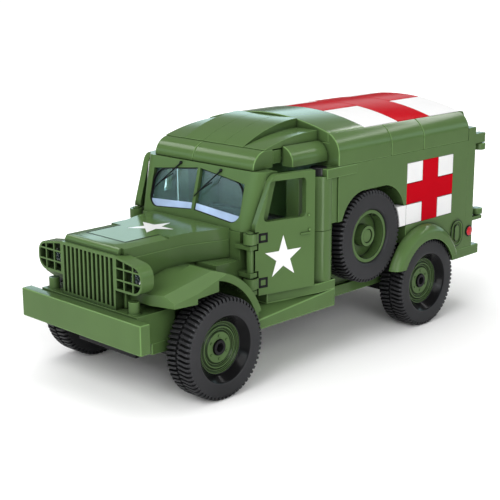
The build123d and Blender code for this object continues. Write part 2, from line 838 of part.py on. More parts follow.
roof_middle_half = 1.5 * stud
roof_front_x = 23.4
roof_base_x = (box_front_x + roof_front_x) / 2
roof_lip = 0.2
middle_rise = 5.9
middle_bend = 4.4  # rise halfway along
side_rise = 3.3
side_bend = 2.6


def roof_section(y0, y1, bend, rise):
    """Curved strip of the cab's roof between two lines along the vehicle."""
    lip_z = brow_top_z + roof_lip
    with BuildSketch(Plane.XZ.offset(-max(y0, y1))) as section:
        with BuildLine() as edge:
            Polyline(
                (box_front_x, brow_top_z + rise), (box_front_x, brow_top_z), (roof_front_x, brow_top_z),
                (roof_front_x, lip_z),
            )
            ThreePointArc(
                (roof_front_x, lip_z), (roof_base_x, brow_top_z + bend), (box_front_x, brow_top_z + rise)
            )
        make_face(edge.edges())
    extrude(section.sketch, amount=abs(y1 - y0))


with BuildPart() as cab_roof:
    for column in (-1, 0, 1):
        roof_section(
            column * stud - stud / 2 + seam / 2, column * stud + stud / 2 - seam / 2,
            middle_bend, middle_rise,
        )
    for _, sign in sides:
        roof_section(sign * (roof_middle_half + seam), sign * cab_half, side_bend, side_rise)
    block(box_front_x, brow_rear_x, -deck_half, deck_half, brow_top_z - plate, brow_top_z)
save(cab_roof, "cab_roof")

rail_half = cab_half + stud / 2
rail_z = screen_top_z
rail_rise = 5.6
rail_top_z = rail_z + rail_rise
rail_side = 1.6
rail_bend_in = 1.2  # bend's middle inside the side and below the top
rail_bend_down = 1.5
rail_front_x = 16.4
with BuildPart() as cab_rail:
    with BuildSketch(Plane.YZ.offset(box_front_x)):
        with BuildLine():
            Polyline(
                (cab_half, rail_top_z), (cab_half, rail_z), (rail_half, rail_z),
                (rail_half, rail_z + rail_side),
            )
            ThreePointArc(
                (rail_half, rail_z + rail_side), (rail_half - rail_bend_in, rail_top_z - rail_bend_down),
                (cab_half, rail_top_z),
            )
        make_face()
    extrude(amount=rail_front_x - box_front_x)
save_pair(cab_rail, "cab_rail")

# Box: bulkhead, side walls and the cross let into each wall
wall_top_z = level(11)
roof_base_z = level(13)
frame_x = box_rear_x + frame_depth
with BuildPart() as bulkhead:
    block(box_front_x - plate, box_front_x, -core_half, core_half, deck_z, roof_base_z)
save(bulkhead, "bulkhead")

rear_arch_ahead = 0.3  # arch's centre ahead of the axle and above it
rear_arch_above = 0.7
rear_arch_x = rear_axle_x + rear_arch_ahead
rear_arch_z = axle_z + rear_arch_above
rear_arch_room = 1.5  # room between the tyre and the arch
rear_arch_radius = tyre_radius + rear_arch_room
arch_skin = 0.8
cross_front_x = recess_rear_x
cross_row = 2 * plate
cross_z = level(4)
cross_depth = plate
cross_rear_x = cross_front_x - 3 * cross_cell
cross_top_z = cross_z + 3 * cross_row
recess_foot_z = level(6)
recess_front_foot = 1.8
recess_rear_foot = 1.2
recess_round = 9.0
recess_arc = 1.2 * recess_round  # radius of the recess's upper corners
filler_set = 9.0
filler_x = box_rear_x + filler_set
filler_rise = 5.8
filler_z = deck_z + filler_rise
filler_width = 6.4
filler_height = 8.6
filler_proud = 0.4
filler_ring = 0.6  # width of the filler's rim
filler_cap_set = (1.5, 1.8)  # cap's edges inside the rim's, at its ends and at its sides


def plain_wall(sign):
    """Side wall with the wheel arch and the cross's pocket."""
    block(frame_x, box_front_x, sign * core_half, sign * body_half, deck_z, wall_top_z)
    rod_y(
        rear_arch_x, rear_arch_z, rear_arch_radius,
        sign * (core_half + arch_skin), sign * (body_half + 1), mode=Mode.SUBTRACT,
    )
    block(
        cross_rear_x, cross_front_x, sign * (body_half - cross_depth), sign * body_half,
        cross_z, cross_top_z, mode=Mode.SUBTRACT,
    )


with BuildPart() as left_wall:
    plain_wall(1)
    with BuildSketch(Plane.XZ.offset(-body_half)):
        with BuildLine():
            front_foot = box_front_x - recess_front_foot
            rear_foot = recess_rear_x + recess_rear_foot
            Polyline(
                (front_foot - recess_round, recess_top_z), (rear_foot + recess_round, recess_top_z),
            )
            RadiusArc((rear_foot + recess_round, recess_top_z), (rear_foot, recess_foot_z), -recess_arc)
            Polyline(
                (rear_foot, recess_foot_z), (recess_rear_x, recess_foot_z), (recess_rear_x, deck_z),
                (box_front_x, deck_z), (box_front_x, recess_foot_z), (front_foot, recess_foot_z),
            )
            RadiusArc((front_foot, recess_foot_z), (front_foot - recess_round, recess_top_z), -recess_arc)
        make_face()
    extrude(amount=wall, mode=Mode.SUBTRACT)
    with BuildSketch(Plane.XZ.offset(-body_half)):
        with Locations((filler_x, filler_z)):
            SlotOverall(filler_height, filler_width, rotation=90)
            SlotOverall(
                filler_height - 2 * filler_ring, filler_width - 2 * filler_ring, rotation=90,
                mode=Mode.SUBTRACT,
            )
            SlotOverall(
                filler_height - 2 * filler_cap_set[0], filler_width - 2 * filler_cap_set[1], rotation=90
            )
    extrude(amount=-filler_proud)
save(left_wall, "box_wall_left")

with BuildPart() as right_wall:
    plain_wall(-1)
save(right_wall, "box_wall_right")


def cross_cell_block(sign, column, row, columns=1, rows=1, margin=0.0):
    """Brick of the side cross, counted from its front lower corner."""
    front = cross_front_x - column * cross_cell
    low = cross_z + row * cross_row
    block(
        front - columns * cross_cell + margin, front - margin,
        sign * (body_half - cross_depth), sign * body_half, low + margin, low + rows * cross_row - margin,
    )


with BuildPart() as cross_white:
    for _, sign in sides:
        for column in (0, 2):
            for row in (0, 2):
                cross_cell_block(sign, column, row, margin=seam / 2)
    with BuildPart(mode=Mode.PRIVATE) as spare_room:
        rod_y(spare_x, spare_z, tyre_radius + gap, core_half, body_half + 1)
    cross_cell_block(1, -1, 0, margin=0)
    add(spare_room.part, mode=Mode.SUBTRACT)
save(cross_white, "side_cross_white")

with BuildPart() as cross_red:
    for _, sign in sides:
        cross_cell_block(sign, 1, 0, rows=3)
        cross_cell_block(sign, 0, 1, columns=3)
save(cross_red, "side_cross_red")

# Roof: side rails of three bricks, and an arched top of coloured cells
rail_shoulder = 3.9
rail_shoulder_z = wall_top_z + rail_shoulder
roof_half = body_half - stud / 2
roof_edge = 2.7
roof_edge_z = roof_base_z + roof_edge
roof_crest_z = level(15)
roof_bend_in = 1.3  # rail's bend inside its face and above its shoulder
roof_bend_up = 3.1
roof_row = (box_length - frame_depth) / 4
roof_column = 2 * roof_half / 3
rail_bay = (box_length - frame_depth) / 8
rail_joints = (0, 3, 5, 8)  # bays from the box's front
with BuildPart() as roof_rail:
    for first, last in zip(rail_joints, rail_joints[1:]):
        rear_end = box_front_x - last * rail_bay + seam / 2
        with BuildSketch(Plane.YZ.offset(rear_end)):
            with BuildLine():
                Polyline(
                    (roof_half, roof_edge_z), (roof_half, roof_base_z), (core_half, roof_base_z),
                    (core_half, wall_top_z), (body_half, wall_top_z), (body_half, rail_shoulder_z),
                )
                ThreePointArc(
                    (body_half, rail_shoulder_z), (body_half - roof_bend_in, rail_shoulder_z + roof_bend_up),
                    (roof_half, roof_edge_z),
                )
            make_face()
        extrude(amount=(last - first) * rail_bay - seam)
save_pair(roof_rail, "roof_rail")

with BuildPart() as roof_arch:
    with BuildSketch(Plane.YZ.offset(frame_x)):
        with BuildLine():
            Polyline(
                (-roof_half, roof_edge_z), (-roof_half, roof_base_z), (roof_half, roof_base_z),
                (roof_half, roof_edge_z),
            )
            ThreePointArc((roof_half, roof_edge_z), (0, roof_crest_z), (-roof_half, roof_edge_z))
        make_face()
    extrude(amount=box_front_x - frame_x)

roof_cells = (
    # colour, first column, last column, cells along from the front
    ("green", ((0, -1.5, 1.5),)),
    ("white", ((1, -1.5, -0.5), (1, 0.5, 1.5), (3, -1.5, -0.5), (3, 0.5, 1.5))),
    ("red", ((1, -0.5, 0.5), (2, -1.5, 1.5), (3, -0.5, 0.5))),
)
for colour, cells in roof_cells:
    with BuildPart() as roof:
        for row, first, last in cells:
            block(
                box_front_x - (row + 1) * roof_row + seam / 2, box_front_x - row * roof_row - seam / 2,
                first * roof_column + seam / 2, last * roof_column - seam / 2, roof_base_z, roof_crest_z + 1,
            )
        add(roof_arch.part, mode=Mode.INTERSECT)
    save(roof, f"roof_{colour}")

# Rear frame with the brackets that the doors hang on
door_head_z = level(10)
hinge_back = 4.5
hinge_x = box_rear_x - hinge_back
hinge_in = 1.6
hinge_y = body_half - hinge_in
hinge_pin_radius = 0.9
knuckle_radius = 2.0
knuckles = (
    # lower, upper height of the knuckle; lower, upper height of its bracket
    (30.2, 32.2, 28.7, 29.9),
    (51.6, 53.8, 54.1, 57.2),
)
rear_door_thick = 2.2
rear_door_x = box_rear_x - gap
rear_door_inset = 3.0
rear_door_half = body_half - rear_door_inset
rear_door_foot = 0.5
rear_door_z = deck_z + rear_door_foot
rear_door_head = 0.6
rear_door_top_z = wall_top_z - rear_door_head
slope_run = 2.0  # top's bend behind the roof's edge
slope_drop = 0.4
slope_rear_drop = 1.0
with BuildPart() as rear_frame:
    for _, sign in sides:
        block(box_rear_x, frame_x, sign * core_half, sign * body_half, deck_z, wall_top_z)
        for lower, upper, bracket_low, bracket_high in knuckles:
            block(
                hinge_x - hinge_pin_radius, box_rear_x, sign * (hinge_y - hinge_pin_radius), sign * body_half,
                bracket_low, bracket_high,
            )
            rod_z(
                hinge_x, sign * hinge_y, hinge_pin_radius,
                min(lower, bracket_low), max(upper, bracket_high),
            )
    block(box_rear_x, frame_x, -core_half, core_half, door_head_z, wall_top_z)
    side_outline(
        (
            (frame_x, wall_top_z), (frame_x, roof_edge_z),
            (frame_x - slope_run, roof_edge_z - slope_drop),
            (box_rear_x, roof_base_z - slope_rear_drop), (box_rear_x, wall_top_z),
        ),
        -roof_half, roof_half,
    )
    for _, sign in sides:
        block(box_rear_x, frame_x, sign * roof_half, sign * body_half, wall_top_z, rail_shoulder_z)
save(rear_frame, "rear_frame")

rear_window_z = level(6)
rear_window_top_z = level(9)
rear_window_inner = 6.0
rear_window_border = 7.0
rear_window_outer = rear_door_half - rear_window_border
knuckle_seat = 3.0  # how far a hinge strap lies on its door
with BuildPart() as rear_door:
    block(
        rear_door_x - rear_door_thick, rear_door_x, seam / 2 + gap / 2, rear_door_half,
        rear_door_z, rear_door_top_z,
    )
    block(
        rear_door_x - rear_door_thick, rear_door_x, rear_window_inner, rear_window_outer,
        rear_window_z, rear_window_top_z, mode=Mode.SUBTRACT,
    )
    for lower, upper, bracket_low, bracket_high in knuckles:
        block(
            hinge_x - hinge_pin_radius, rear_door_x - rear_door_thick / 2, rear_door_half - knuckle_seat,
            hinge_y, lower, upper,
        )
        rod_z(hinge_x, hinge_y, knuckle_radius, lower, upper)
        rod_z(hinge_x, hinge_y, hinge_pin_radius + running, lower, upper, mode=Mode.SUBTRACT)
save_pair(rear_door, "rear_door")

# Tail lamps, rear step and rear fenders
tail_lamp_x = box_rear_x + frame_depth / 2
tail_lamp_rise = 5.3
tail_lamp_z = deck_z + tail_lamp_rise
tail_lamp_radius = 1.8
tail_lamp_proud = 0.8
with BuildPart() as tail_lamps:
    for _, sign in sides:
        rod_y(
            tail_lamp_x, tail_lamp_z, tail_lamp_radius,
            sign * body_half, sign * (body_half + tail_lamp_proud),
        )
save(tail_lamps, "tail_lamps")

step_proud = 4.2
step_rear_x = box_rear_x - step_proud
with BuildPart() as rear_step:
    block(step_rear_x, step_front_x - seam, -body_half, body_half, sub_deck_z, deck_z)
save(rear_step, "rear_step")

wheel_room = 0.35  # room between the tyre's face and the fender's lip
rear_lip = 0.65
rear_lip_lap = 0.7  # how far the lip covers the tyre's edge
fender_half = body_half + tyre_proud + wheel_room + rear_lip
fender_proud = fender_half - body_half
rear_lip_radius = tyre_radius - rear_lip_lap
fender_room = 0.2
fender_thick = 2.4
rear_fender_radius = rear_arch_radius + fender_thick
fender_inside = rear_arch_radius + fender_room
fender_crown = 2.6  # drop from the fender's crown to its outer edge
fender_bend = (0.3, 0.66)  # bend's middle, as shares of the drop and of the fender's width
inside_bend = 1.1
with BuildPart() as rear_fender:
    with BuildSketch(Plane((rear_arch_x, 0, rear_arch_z))):
        with BuildLine():
            Polyline(
                (rear_fender_radius - fender_crown, fender_half), (rear_lip_radius, fender_half),
                (rear_lip_radius, fender_half - rear_lip),
                (fender_inside - inside_bend, fender_half - rear_lip),
                (fender_inside, fender_half - rear_lip - inside_bend), (fender_inside, body_half),
                (rear_fender_radius, body_half),
            )
            ThreePointArc(
                (rear_fender_radius, body_half),
                (
                    rear_fender_radius - fender_bend[0] * fender_crown,
                    body_half + fender_bend[1] * fender_proud,
                ),
                (rear_fender_radius - fender_crown, fender_half),
            )
        make_face()
    revolve(axis=Axis((rear_arch_x, 0, rear_arch_z), (0, -1, 0)), revolution_arc=180)
    block(
        rear_arch_x - rear_fender_radius - 1, rear_arch_x + rear_fender_radius + 1, body_half - 1,
        fender_half + 1, 0, deck_z, mode=Mode.SUBTRACT,
    )
save_pair(rear_fender, "rear_fender")
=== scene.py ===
"""Finish, tyres, trim and studio for a brick-built toy ambulance lorry, laid over its CAD frame."""

import json
from functools import cache
from math import cos, pi, radians, sin, tan, tau

import bmesh
import bpy
from bpy.props import FloatProperty, FloatVectorProperty, IntProperty, PointerProperty
from bpy.types import NodeSocket, Operator, Panel, PropertyGroup
from mathutils import Matrix, Vector


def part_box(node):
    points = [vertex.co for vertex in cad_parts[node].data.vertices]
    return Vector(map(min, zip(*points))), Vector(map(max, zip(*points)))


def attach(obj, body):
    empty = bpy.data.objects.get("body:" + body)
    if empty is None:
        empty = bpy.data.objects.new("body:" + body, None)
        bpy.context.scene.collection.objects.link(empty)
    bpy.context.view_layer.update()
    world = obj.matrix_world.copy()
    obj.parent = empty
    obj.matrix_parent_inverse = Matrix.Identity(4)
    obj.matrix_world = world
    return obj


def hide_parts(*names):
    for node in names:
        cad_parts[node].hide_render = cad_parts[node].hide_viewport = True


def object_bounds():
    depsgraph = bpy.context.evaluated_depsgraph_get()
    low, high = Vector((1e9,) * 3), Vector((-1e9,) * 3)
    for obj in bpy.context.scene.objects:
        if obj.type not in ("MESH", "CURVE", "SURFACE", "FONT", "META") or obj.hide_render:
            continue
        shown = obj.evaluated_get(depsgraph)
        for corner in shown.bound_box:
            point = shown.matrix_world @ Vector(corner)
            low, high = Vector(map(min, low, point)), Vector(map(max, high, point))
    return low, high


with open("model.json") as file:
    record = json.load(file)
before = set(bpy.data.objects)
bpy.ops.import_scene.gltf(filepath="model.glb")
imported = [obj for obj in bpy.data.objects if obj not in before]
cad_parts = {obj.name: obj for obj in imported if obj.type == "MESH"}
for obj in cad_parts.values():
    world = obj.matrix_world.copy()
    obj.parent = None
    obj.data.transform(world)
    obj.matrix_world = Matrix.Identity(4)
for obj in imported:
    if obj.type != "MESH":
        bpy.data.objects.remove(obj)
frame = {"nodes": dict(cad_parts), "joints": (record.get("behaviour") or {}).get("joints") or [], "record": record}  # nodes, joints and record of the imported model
cad_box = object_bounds()
cad_middle = (cad_box[0] + cad_box[1]) / 2

bl_info = {
    "name": "Brick Ambulance Lorry",
    "version": (1, 0, 0),
    "blender": (4, 5, 0),
    "location": "View3D > Sidebar > Ambulance",
    "description": "Dresses the toy lorry's CAD frame with its finishes, tyres, trim and studio",
    "category": "Object",
}

MM = 0.001  # in metres; what isn't multiplied by it in a table of sizes is in millimetres
SIDES = (("left", 1), ("right", -1))
WHEELS = ("front_left", "front_right", "rear_left", "rear_right")


def length(name, description, millimetres):
    """Length property, its default given in millimetres."""
    return FloatProperty(
        name=name, description=description, default=millimetres * MM, unit="LENGTH", precision=5
    )


def colour(name, description, default):
    """Colour property, its default given in linear light."""
    return FloatVectorProperty(
        name=name, description=description, default=default, subtype="COLOR", size=3, min=0.0, max=1.0
    )


def factor(name, description, default, top=1.0):
    """Plain number property from nought to a top value."""
    return FloatProperty(
        name=name, description=description, default=default, subtype="FACTOR", min=0.0, max=top
    )


def angle(name, description, default):
    """Angle property, its default given in radians."""
    return FloatProperty(name=name, description=description, default=default, subtype="ANGLE")


class AmbulanceFinish(PropertyGroup):
    """Colours and surface of the moulded pieces."""

    green: colour("Green", "Army green of the bricks", (0.079, 0.141, 0.046))
    white: colour("White", "White bricks and printed stars", (0.80, 0.80, 0.80))
    red: colour("Red", "Red bricks of the crosses", (0.48, 0.004, 0.011))
    black: colour("Black", "Chassis, axles and wipers", (0.010, 0.010, 0.011))
    grey: colour("Grey", "Seats and dashboard", (0.055, 0.058, 0.056))
    rubber: colour("Rubber", "Side walls and lugs of the tyres", (0.027, 0.027, 0.029))
    clear: colour("Clear", "Tint of the clear panes", (0.56, 0.89, 0.91))
    # Painted reflection: colour of the pale strip seen through the foot of the panes
    foot_reflection: colour("Foot reflection", "Strip along the foot of the panes", (0.36, 0.48, 0.68))
    silver: colour("Silver", "Bowls of the headlamps", (0.75, 0.77, 0.80))
    gloss: factor("Gloss roughness", "Roughness of the moulded bricks", 0.15)
    sheen: factor("Plastic sheen", "How strongly the plastics mirror what stands square to them", 0.11)
    edge_round: length("Edge round", "Radius of the bricks' moulded edges", 0.26)
    # Painted highlight: how much lighter the colour of the rounded edges is made than the faces'
    painted_edge_light: factor("Edge light", "How much lighter the rounded edges are than the faces", 1.7, top=10.0)


class AmbulanceTyres(PropertyGroup):
    """Sizes of the tyres' tread and of the wheels' bolts."""

    lug_count: IntProperty(name="Lugs", description="Lugs in each of the two rows", default=62, min=8)
    lug_share: factor("Lug share", "Share of the pitch that a lug takes", 0.6)
    groove: length("Middle groove", "Width of the groove between the two rows", 0.7)
    bolt_count: IntProperty(name="Bolts", description="Bolts round each hub", default=6, min=3)
    bolt_circle: length("Bolt circle", "Radius of the ring of bolts", 3.15)
    bolt_radius: length("Bolt radius", "Radius of a bolt's head", 0.34)


class AmbulanceTrim(PropertyGroup):
    """Sizes of the stars, the windscreen's trim and the door handles."""

    bonnet_star: length("Bonnet star", "Outer radius of the star on the bonnet", 6.6)
    bonnet_star_x: length("Bonnet star place", "Middle of the bonnet's star along the lorry", 46.8)
    door_star: length("Door star", "Outer radius of the star on each cab door", 6.2)
    print_thick: length("Print thickness", "Height of printed paint above the plastic", 0.04)
    seal_width: length("Seal width", "Width of the black seal round the windscreen's panes", 0.26)
    blade_width: length("Blade width", "Width of a wiper's blade", 0.28)
    handle_length: length("Handle length", "Length of a cab door's handle", 3.3)


class AmbulanceStage(PropertyGroup):
    """Camera, lamps and floor of the studio."""

    camera_place: FloatVectorProperty(
        name="Camera place", description="Where the camera stands", size=3, subtype="TRANSLATION",
        unit="LENGTH", default=(0.248633, 0.234972, 0.114603),
    )
    camera_yaw: angle("Camera yaw", "Heading of the camera's view", -2.3667)
    camera_pitch: angle("Camera pitch", "How far the camera looks down", 0.2528)
    camera_roll: angle("Camera roll", "Tilt of the picture", -0.0031)
    lens: FloatProperty(
        name="Lens", description="Focal length in millimetres on a 36 mm sensor", default=83.67, min=1.0
    )
    sky: factor("Sky light", "Strength of the light from all round", 0.50, top=5.0)
    key: factor("Key light", "Watts of the soft light ahead of the lorry", 3.6, top=100.0)
    fill: factor("Fill light", "Watts of the soft light at the lorry's left", 1.1, top=100.0)
    top: factor("Top light", "Watts of the soft light over the lorry", 1.8, top=100.0)
    strip: factor("Strip light", "Brightness of the strip lamps that curves mirror", 8.0, top=100.0)
    mirror: factor("Mirrored backdrop", "Strength of the backdrop that flat tops mirror", 2.6, top=20.0)
    floor: factor("Floor", "Brightness of the floor's surface", 0.95)
    far_lift: factor("Far floor lift", "Light added to the floor away from the lorry as it is seen", 0.62)
    lift_start: length("Lift start", "How far from the lorry's middle the floor starts to whiten", 60.0)
    lift_end: length("Lift end", "How far from the lorry's middle the floor is white", 170.0)


# Mesh building

HARD_EDGE = radians(32)  # edges that turn more than this are rounded off or kept crisp


def metres(points):
    """Points given in millimetres, as vectors in metres."""
    return [Vector(point) * MM for point in points]


def oblong(across, upward, unit=1.0):
    """Corners of a rectangle between (u0, u1) and (v0, v1)."""
    (u0, u1), (v0, v1) = across, upward
    return [Vector(corner) * unit for corner in ((u0, v0), (u1, v0), (u1, v1), (u0, v1))]


def about_axis(radius, turn, height):
    """Point at a radius, a turn and a height about a plane's outward axis."""
    return Vector((radius * cos(turn), radius * sin(turn), height))


def loft(builder, sections, loop=False):
    """Closed skin through sections of equal point counts, capped at both ends or joined into a ring."""
    rings = [[builder.verts.new(point) for point in section] for section in sections]
    if not loop:
        builder.faces.new(rings[0])
        builder.faces.new(rings[-1])
    for first, second in zip(rings, rings[1:] + (rings[:1] if loop else [])):
        for corner, vertex in enumerate(first):
            after = (corner + 1) % len(first)
            builder.faces.new((vertex, first[after], second[after], second[corner]))


def placed(origin, right, normal):
    """Matrix of a plane that has its own right, up and outward directions."""
    right, normal = Vector(right).normalized(), Vector(normal).normalized()
    axes = Matrix((right, normal.cross(right), normal)).transposed()
    return Matrix.Translation(Vector(origin)) @ axes.to_4x4()


def level_place(origin):
    """Plane of a flat top, its right pointing ahead and its up to the lorry's left."""
    return placed(origin, (1, 0, 0), (0, 0, 1))


def both_sides(place):
    """Names of the two sides, with the left side's plane and its mirror image on the right."""
    return (("left", place), ("right", Matrix.Scale(-1, 4, (0, 1, 0)) @ place))


def prism(builder, outline, place, low, high):
    """Block from an outline of (u, v) points, between two heights above a plane."""
    loft(builder, [[place @ Vector((*spot, height)) for spot in outline] for height in (low, high)])


def turned(builder, profile, place, steps):
    """Round solid from (radius, height) points, from its foot to its top."""
    turns = [tau * step / steps for step in range(steps)]
    loft(builder, [
        [place @ about_axis(radius, turn, height) for turn in turns] for radius, height in profile
    ])


def strip(builder, path, place, width, low, high, closed=False):
    """Flat strip along the left of a path of (u, v) points, between two heights above a plane."""
    sections = []
    last = len(path) - 1
    for index, spot in enumerate(path):
        if closed:
            ahead = path[(index + 1) % len(path)] - path[index - 1]
        else:
            ahead = path[min(index + 1, last)] - path[max(index - 1, 0)]
        inner = spot + Vector((-ahead.y, ahead.x)).normalized() * width
        corners = ((spot, low), (inner, low), (inner, high), (spot, high))
        sections.append([place @ Vector((*corner, height)) for corner, height in corners])
    loft(builder, sections, loop=closed)


def rounded(corners, steps=7):
    """Outline through (u, v, radius) corners, each one rounded by its radius."""
    outline = []
    for index, (u, v, radius) in enumerate(corners):
        corner = Vector((u, v))
        before = (Vector(corners[index - 1][:2]) - corner).normalized()
        after = (Vector(corners[(index + 1) % len(corners)][:2]) - corner).normalized()
        if not radius:
            outline.append(corner)
            continue
        half = before.angle(after) / 2
        middle = corner + (before + after).normalized() * radius / sin(half)
        start = corner + before * radius / tan(half) - middle
        turn = start.angle_signed(corner + after * radius / tan(half) - middle)
        outline += [middle + Matrix.Rotation(-turn * step / steps, 2) @ start for step in range(steps + 1)]
    return outline


def star_outline(radius, heading):
    """Five-pointed star, its first point along a heading."""
    inner = radius * sin(pi / 10) / sin(3 * pi / 10)
    turns = [heading + pi * step / 5 for step in range(10)]
    return [
        Vector((cos(turn), sin(turn))) * (inner if step % 2 else radius) for step, turn in enumerate(turns)
    ]


def soften(piece, width, edge_finish=None):
    """Round off a piece's hard edges, in their own finish if one is named, and shade the rest smooth."""
    bevel = piece.modifiers.new("Moulded edges", "BEVEL")
    if edge_finish:
        piece.data.materials.append(finish(edge_finish))
        bevel.material = len(piece.data.materials) - 1
    bevel.width = width
    bevel.segments = 2
    bevel.limit_method = "ANGLE"
    bevel.angle_limit = HARD_EDGE
    bevel.use_clamp_overlap = True
    normals = piece.modifiers.new("Even shading", "WEIGHTED_NORMAL")
    normals.mode = "FACE_AREA"
    normals.weight = 80


def new_piece(name, builder, slot, body, edge=0.0, finish_name=None):
    """Object from a finished mesh, in its slot's finish or another, that moves with a body of the lorry."""
    bmesh.ops.recalc_face_normals(builder, faces=builder.faces)
    mesh = bpy.data.meshes.new(name)
    builder.to_mesh(mesh)
    builder.free()
    mesh.shade_smooth()
    mesh.materials.append(finish(finish_name or slot))
    piece = bpy.data.objects.new(name, mesh)
    bpy.context.scene.collection.objects.link(piece)
    if edge:
        soften(piece, edge, EDGES.get(slot))
    else:
        mesh.set_sharp_from_angle(angle=HARD_EDGE)
    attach(piece, body)
    return piece


# Shader node groups

COLOUR, NUMBER = "NodeSocketColor", "NodeSocketFloat"
WHITE = (1.0, 1.0, 1.0, 1.0)


def feed(tree, node, inputs):
    """Give inputs of a node their values, or the outputs that feed them."""
    for key, value in inputs.items():
        if isinstance(value, NodeSocket):
            tree.links.new(value, node.inputs[key])
        else:
            node.inputs[key].default_value = value
    return node


def add_node(tree, kind, inputs=None, **settings):
    """New node with its settings and what its inputs are fed."""
    node = tree.nodes.new(kind)
    for key, value in settings.items():
        setattr(node, key, value)
    return feed(tree, node, inputs or {})


def reckon(tree, operation, *values, **settings):
    """Result of a sum over numbers and outputs of other nodes."""
    node = add_node(tree, "ShaderNodeMath", dict(enumerate(values)), operation=operation, **settings)
    return node.outputs[0]


def noise(tree, place, inputs):
    """Cloudy pattern over a place."""
    return add_node(tree, "ShaderNodeTexNoise", {"Vector": place, **inputs}).outputs["Fac"]


def object_place(tree):
    """Place on the lorry, in metres."""
    return add_node(tree, "ShaderNodeTexCoord").outputs["Object"]


def new_group(name, inputs, output):
    """Shader node group with named inputs and one output, and what its inputs give."""
    tree = bpy.data.node_groups.new(name, "ShaderNodeTree")
    for label, kind, default in inputs:
        tree.interface.new_socket(label, in_out="INPUT", socket_type=kind).default_value = default
    label, kind = output
    tree.interface.new_socket(label, in_out="OUTPUT", socket_type=kind)
    return tree, tree.nodes.new("NodeGroupInput").outputs


def give_shaded(tree, given, strength):
    """Put out a group's colour, made lighter or darker by a strength."""
    shade = add_node(tree, "ShaderNodeHueSaturation", {"Value": strength, "Color": given["Color"]})
    add_node(tree, "NodeGroupOutput", {"Color": shade.outputs["Color"]})


@cache
def moulded_tint():
    """Group: a colour that drifts a little lighter and darker over a moulding."""
    tree, given = new_group(
        "Moulded tint", (("Color", COLOUR, WHITE), ("Drift", NUMBER, 0.1)), ("Color", COLOUR)
    )
    cloud = noise(tree, object_place(tree), {"Scale": 55.0, "Detail": 3.0, "Roughness": 0.55})
    spread = add_node(tree, "ShaderNodeMapRange", {
        "Value": cloud, "From Min": 0.3, "From Max": 0.7,
        "To Min": reckon(tree, "SUBTRACT", 1.0, given["Drift"]),
        "To Max": reckon(tree, "ADD", 1.0, given["Drift"]),
    })
    give_shaded(tree, given, spread.outputs["Result"])
    return tree


@cache
def seam_shade():
    """Group: painted shade, a colour darkened by ambient occlusion where pieces meet and in narrow gaps."""
    tree, given = new_group(
        "Seam shade",
        (("Color", COLOUR, WHITE), ("Depth", NUMBER, 0.4), ("Reach", NUMBER, 1.2 * MM)),
        ("Color", COLOUR),
    )
    near = add_node(tree, "ShaderNodeAmbientOcclusion", {"Distance": given["Reach"]}, samples=6)
    spread = add_node(tree, "ShaderNodeMapRange", {
        "Value": near.outputs["AO"], "From Min": 0.25, "From Max": 0.95,
        "To Min": reckon(tree, "SUBTRACT", 1.0, given["Depth"]), "To Max": 1.0,
    })
    give_shaded(tree, given, spread.outputs["Result"])
    return tree


@cache
def handling_marks():
    """Group: roughness with soft smears and fine scratches from handling."""
    tree, given = new_group(
        "Handling marks", (("Roughness", NUMBER, 0.3), ("Marks", NUMBER, 0.1)), ("Roughness", NUMBER)
    )
    place = object_place(tree)
    smear = noise(tree, place, {"Scale": 140.0, "Detail": 5.0, "Roughness": 0.6})
    turn = add_node(tree, "ShaderNodeMapping", {
        "Vector": place, "Rotation": (0.4, 0.7, 0.3), "Scale": (2600.0, 160.0, 420.0),
    })
    scratch = noise(tree, turn.outputs["Vector"], {"Scale": 1.0, "Detail": 2.0})
    fine = add_node(tree, "ShaderNodeMapRange", {"Value": scratch, "From Min": 0.62, "From Max": 0.78})
    both = reckon(tree, "ADD", smear, fine.outputs["Result"])
    around_nought = reckon(tree, "SUBTRACT", both, 0.5)
    marked = reckon(tree, "MULTIPLY_ADD", around_nought, given["Marks"], given["Roughness"])
    add_node(tree, "NodeGroupOutput", {"Roughness": marked})
    return tree


@cache
def mould_grain():
    """Group: height of a moulding's slow waves and fine skin."""
    tree, given = new_group(
        "Mould grain",
        (("Waves", NUMBER, 0.5), ("Skin", NUMBER, 0.1), ("Skin Scale", NUMBER, 2500.0)),
        ("Height", NUMBER),
    )
    place = object_place(tree)
    wave = noise(tree, place, {"Scale": 90.0, "Detail": 1.0})
    skin = noise(tree, place, {"Scale": given["Skin Scale"], "Detail": 3.0})
    waves = reckon(tree, "MULTIPLY", wave, given["Waves"])
    height = reckon(tree, "MULTIPLY_ADD", skin, given["Skin"], waves)
    add_node(tree, "NodeGroupOutput", {"Height": height})
    return tree


# Materials

# Painted shade: the colour is darkened near other pieces, in wide hollows as well as in narrow seams
HOLLOW_REACH = 14.0 * MM  # how far off other pieces still darken a hollow
HOLLOW_SHARE = 0.85  # depth of that shade against the seams' own
GRAIN_RELIEF = {"Strength": 0.4, "Distance": 0.04 * MM}
# Painted shade: darker copies of a material's own colour on rim bends, tyre beads and joints
RIM_BEND_SHADE = 0.3  # shares of a plastic's own colour left in its dark places
BEAD_SHADE = 0.2
JOINT_SHADE = 0.12


def effect(tree, group, inputs):
    """What a node group puts out, placed in a material with its own values."""
    return add_node(tree, "ShaderNodeGroup", inputs, node_tree=group).outputs[0]


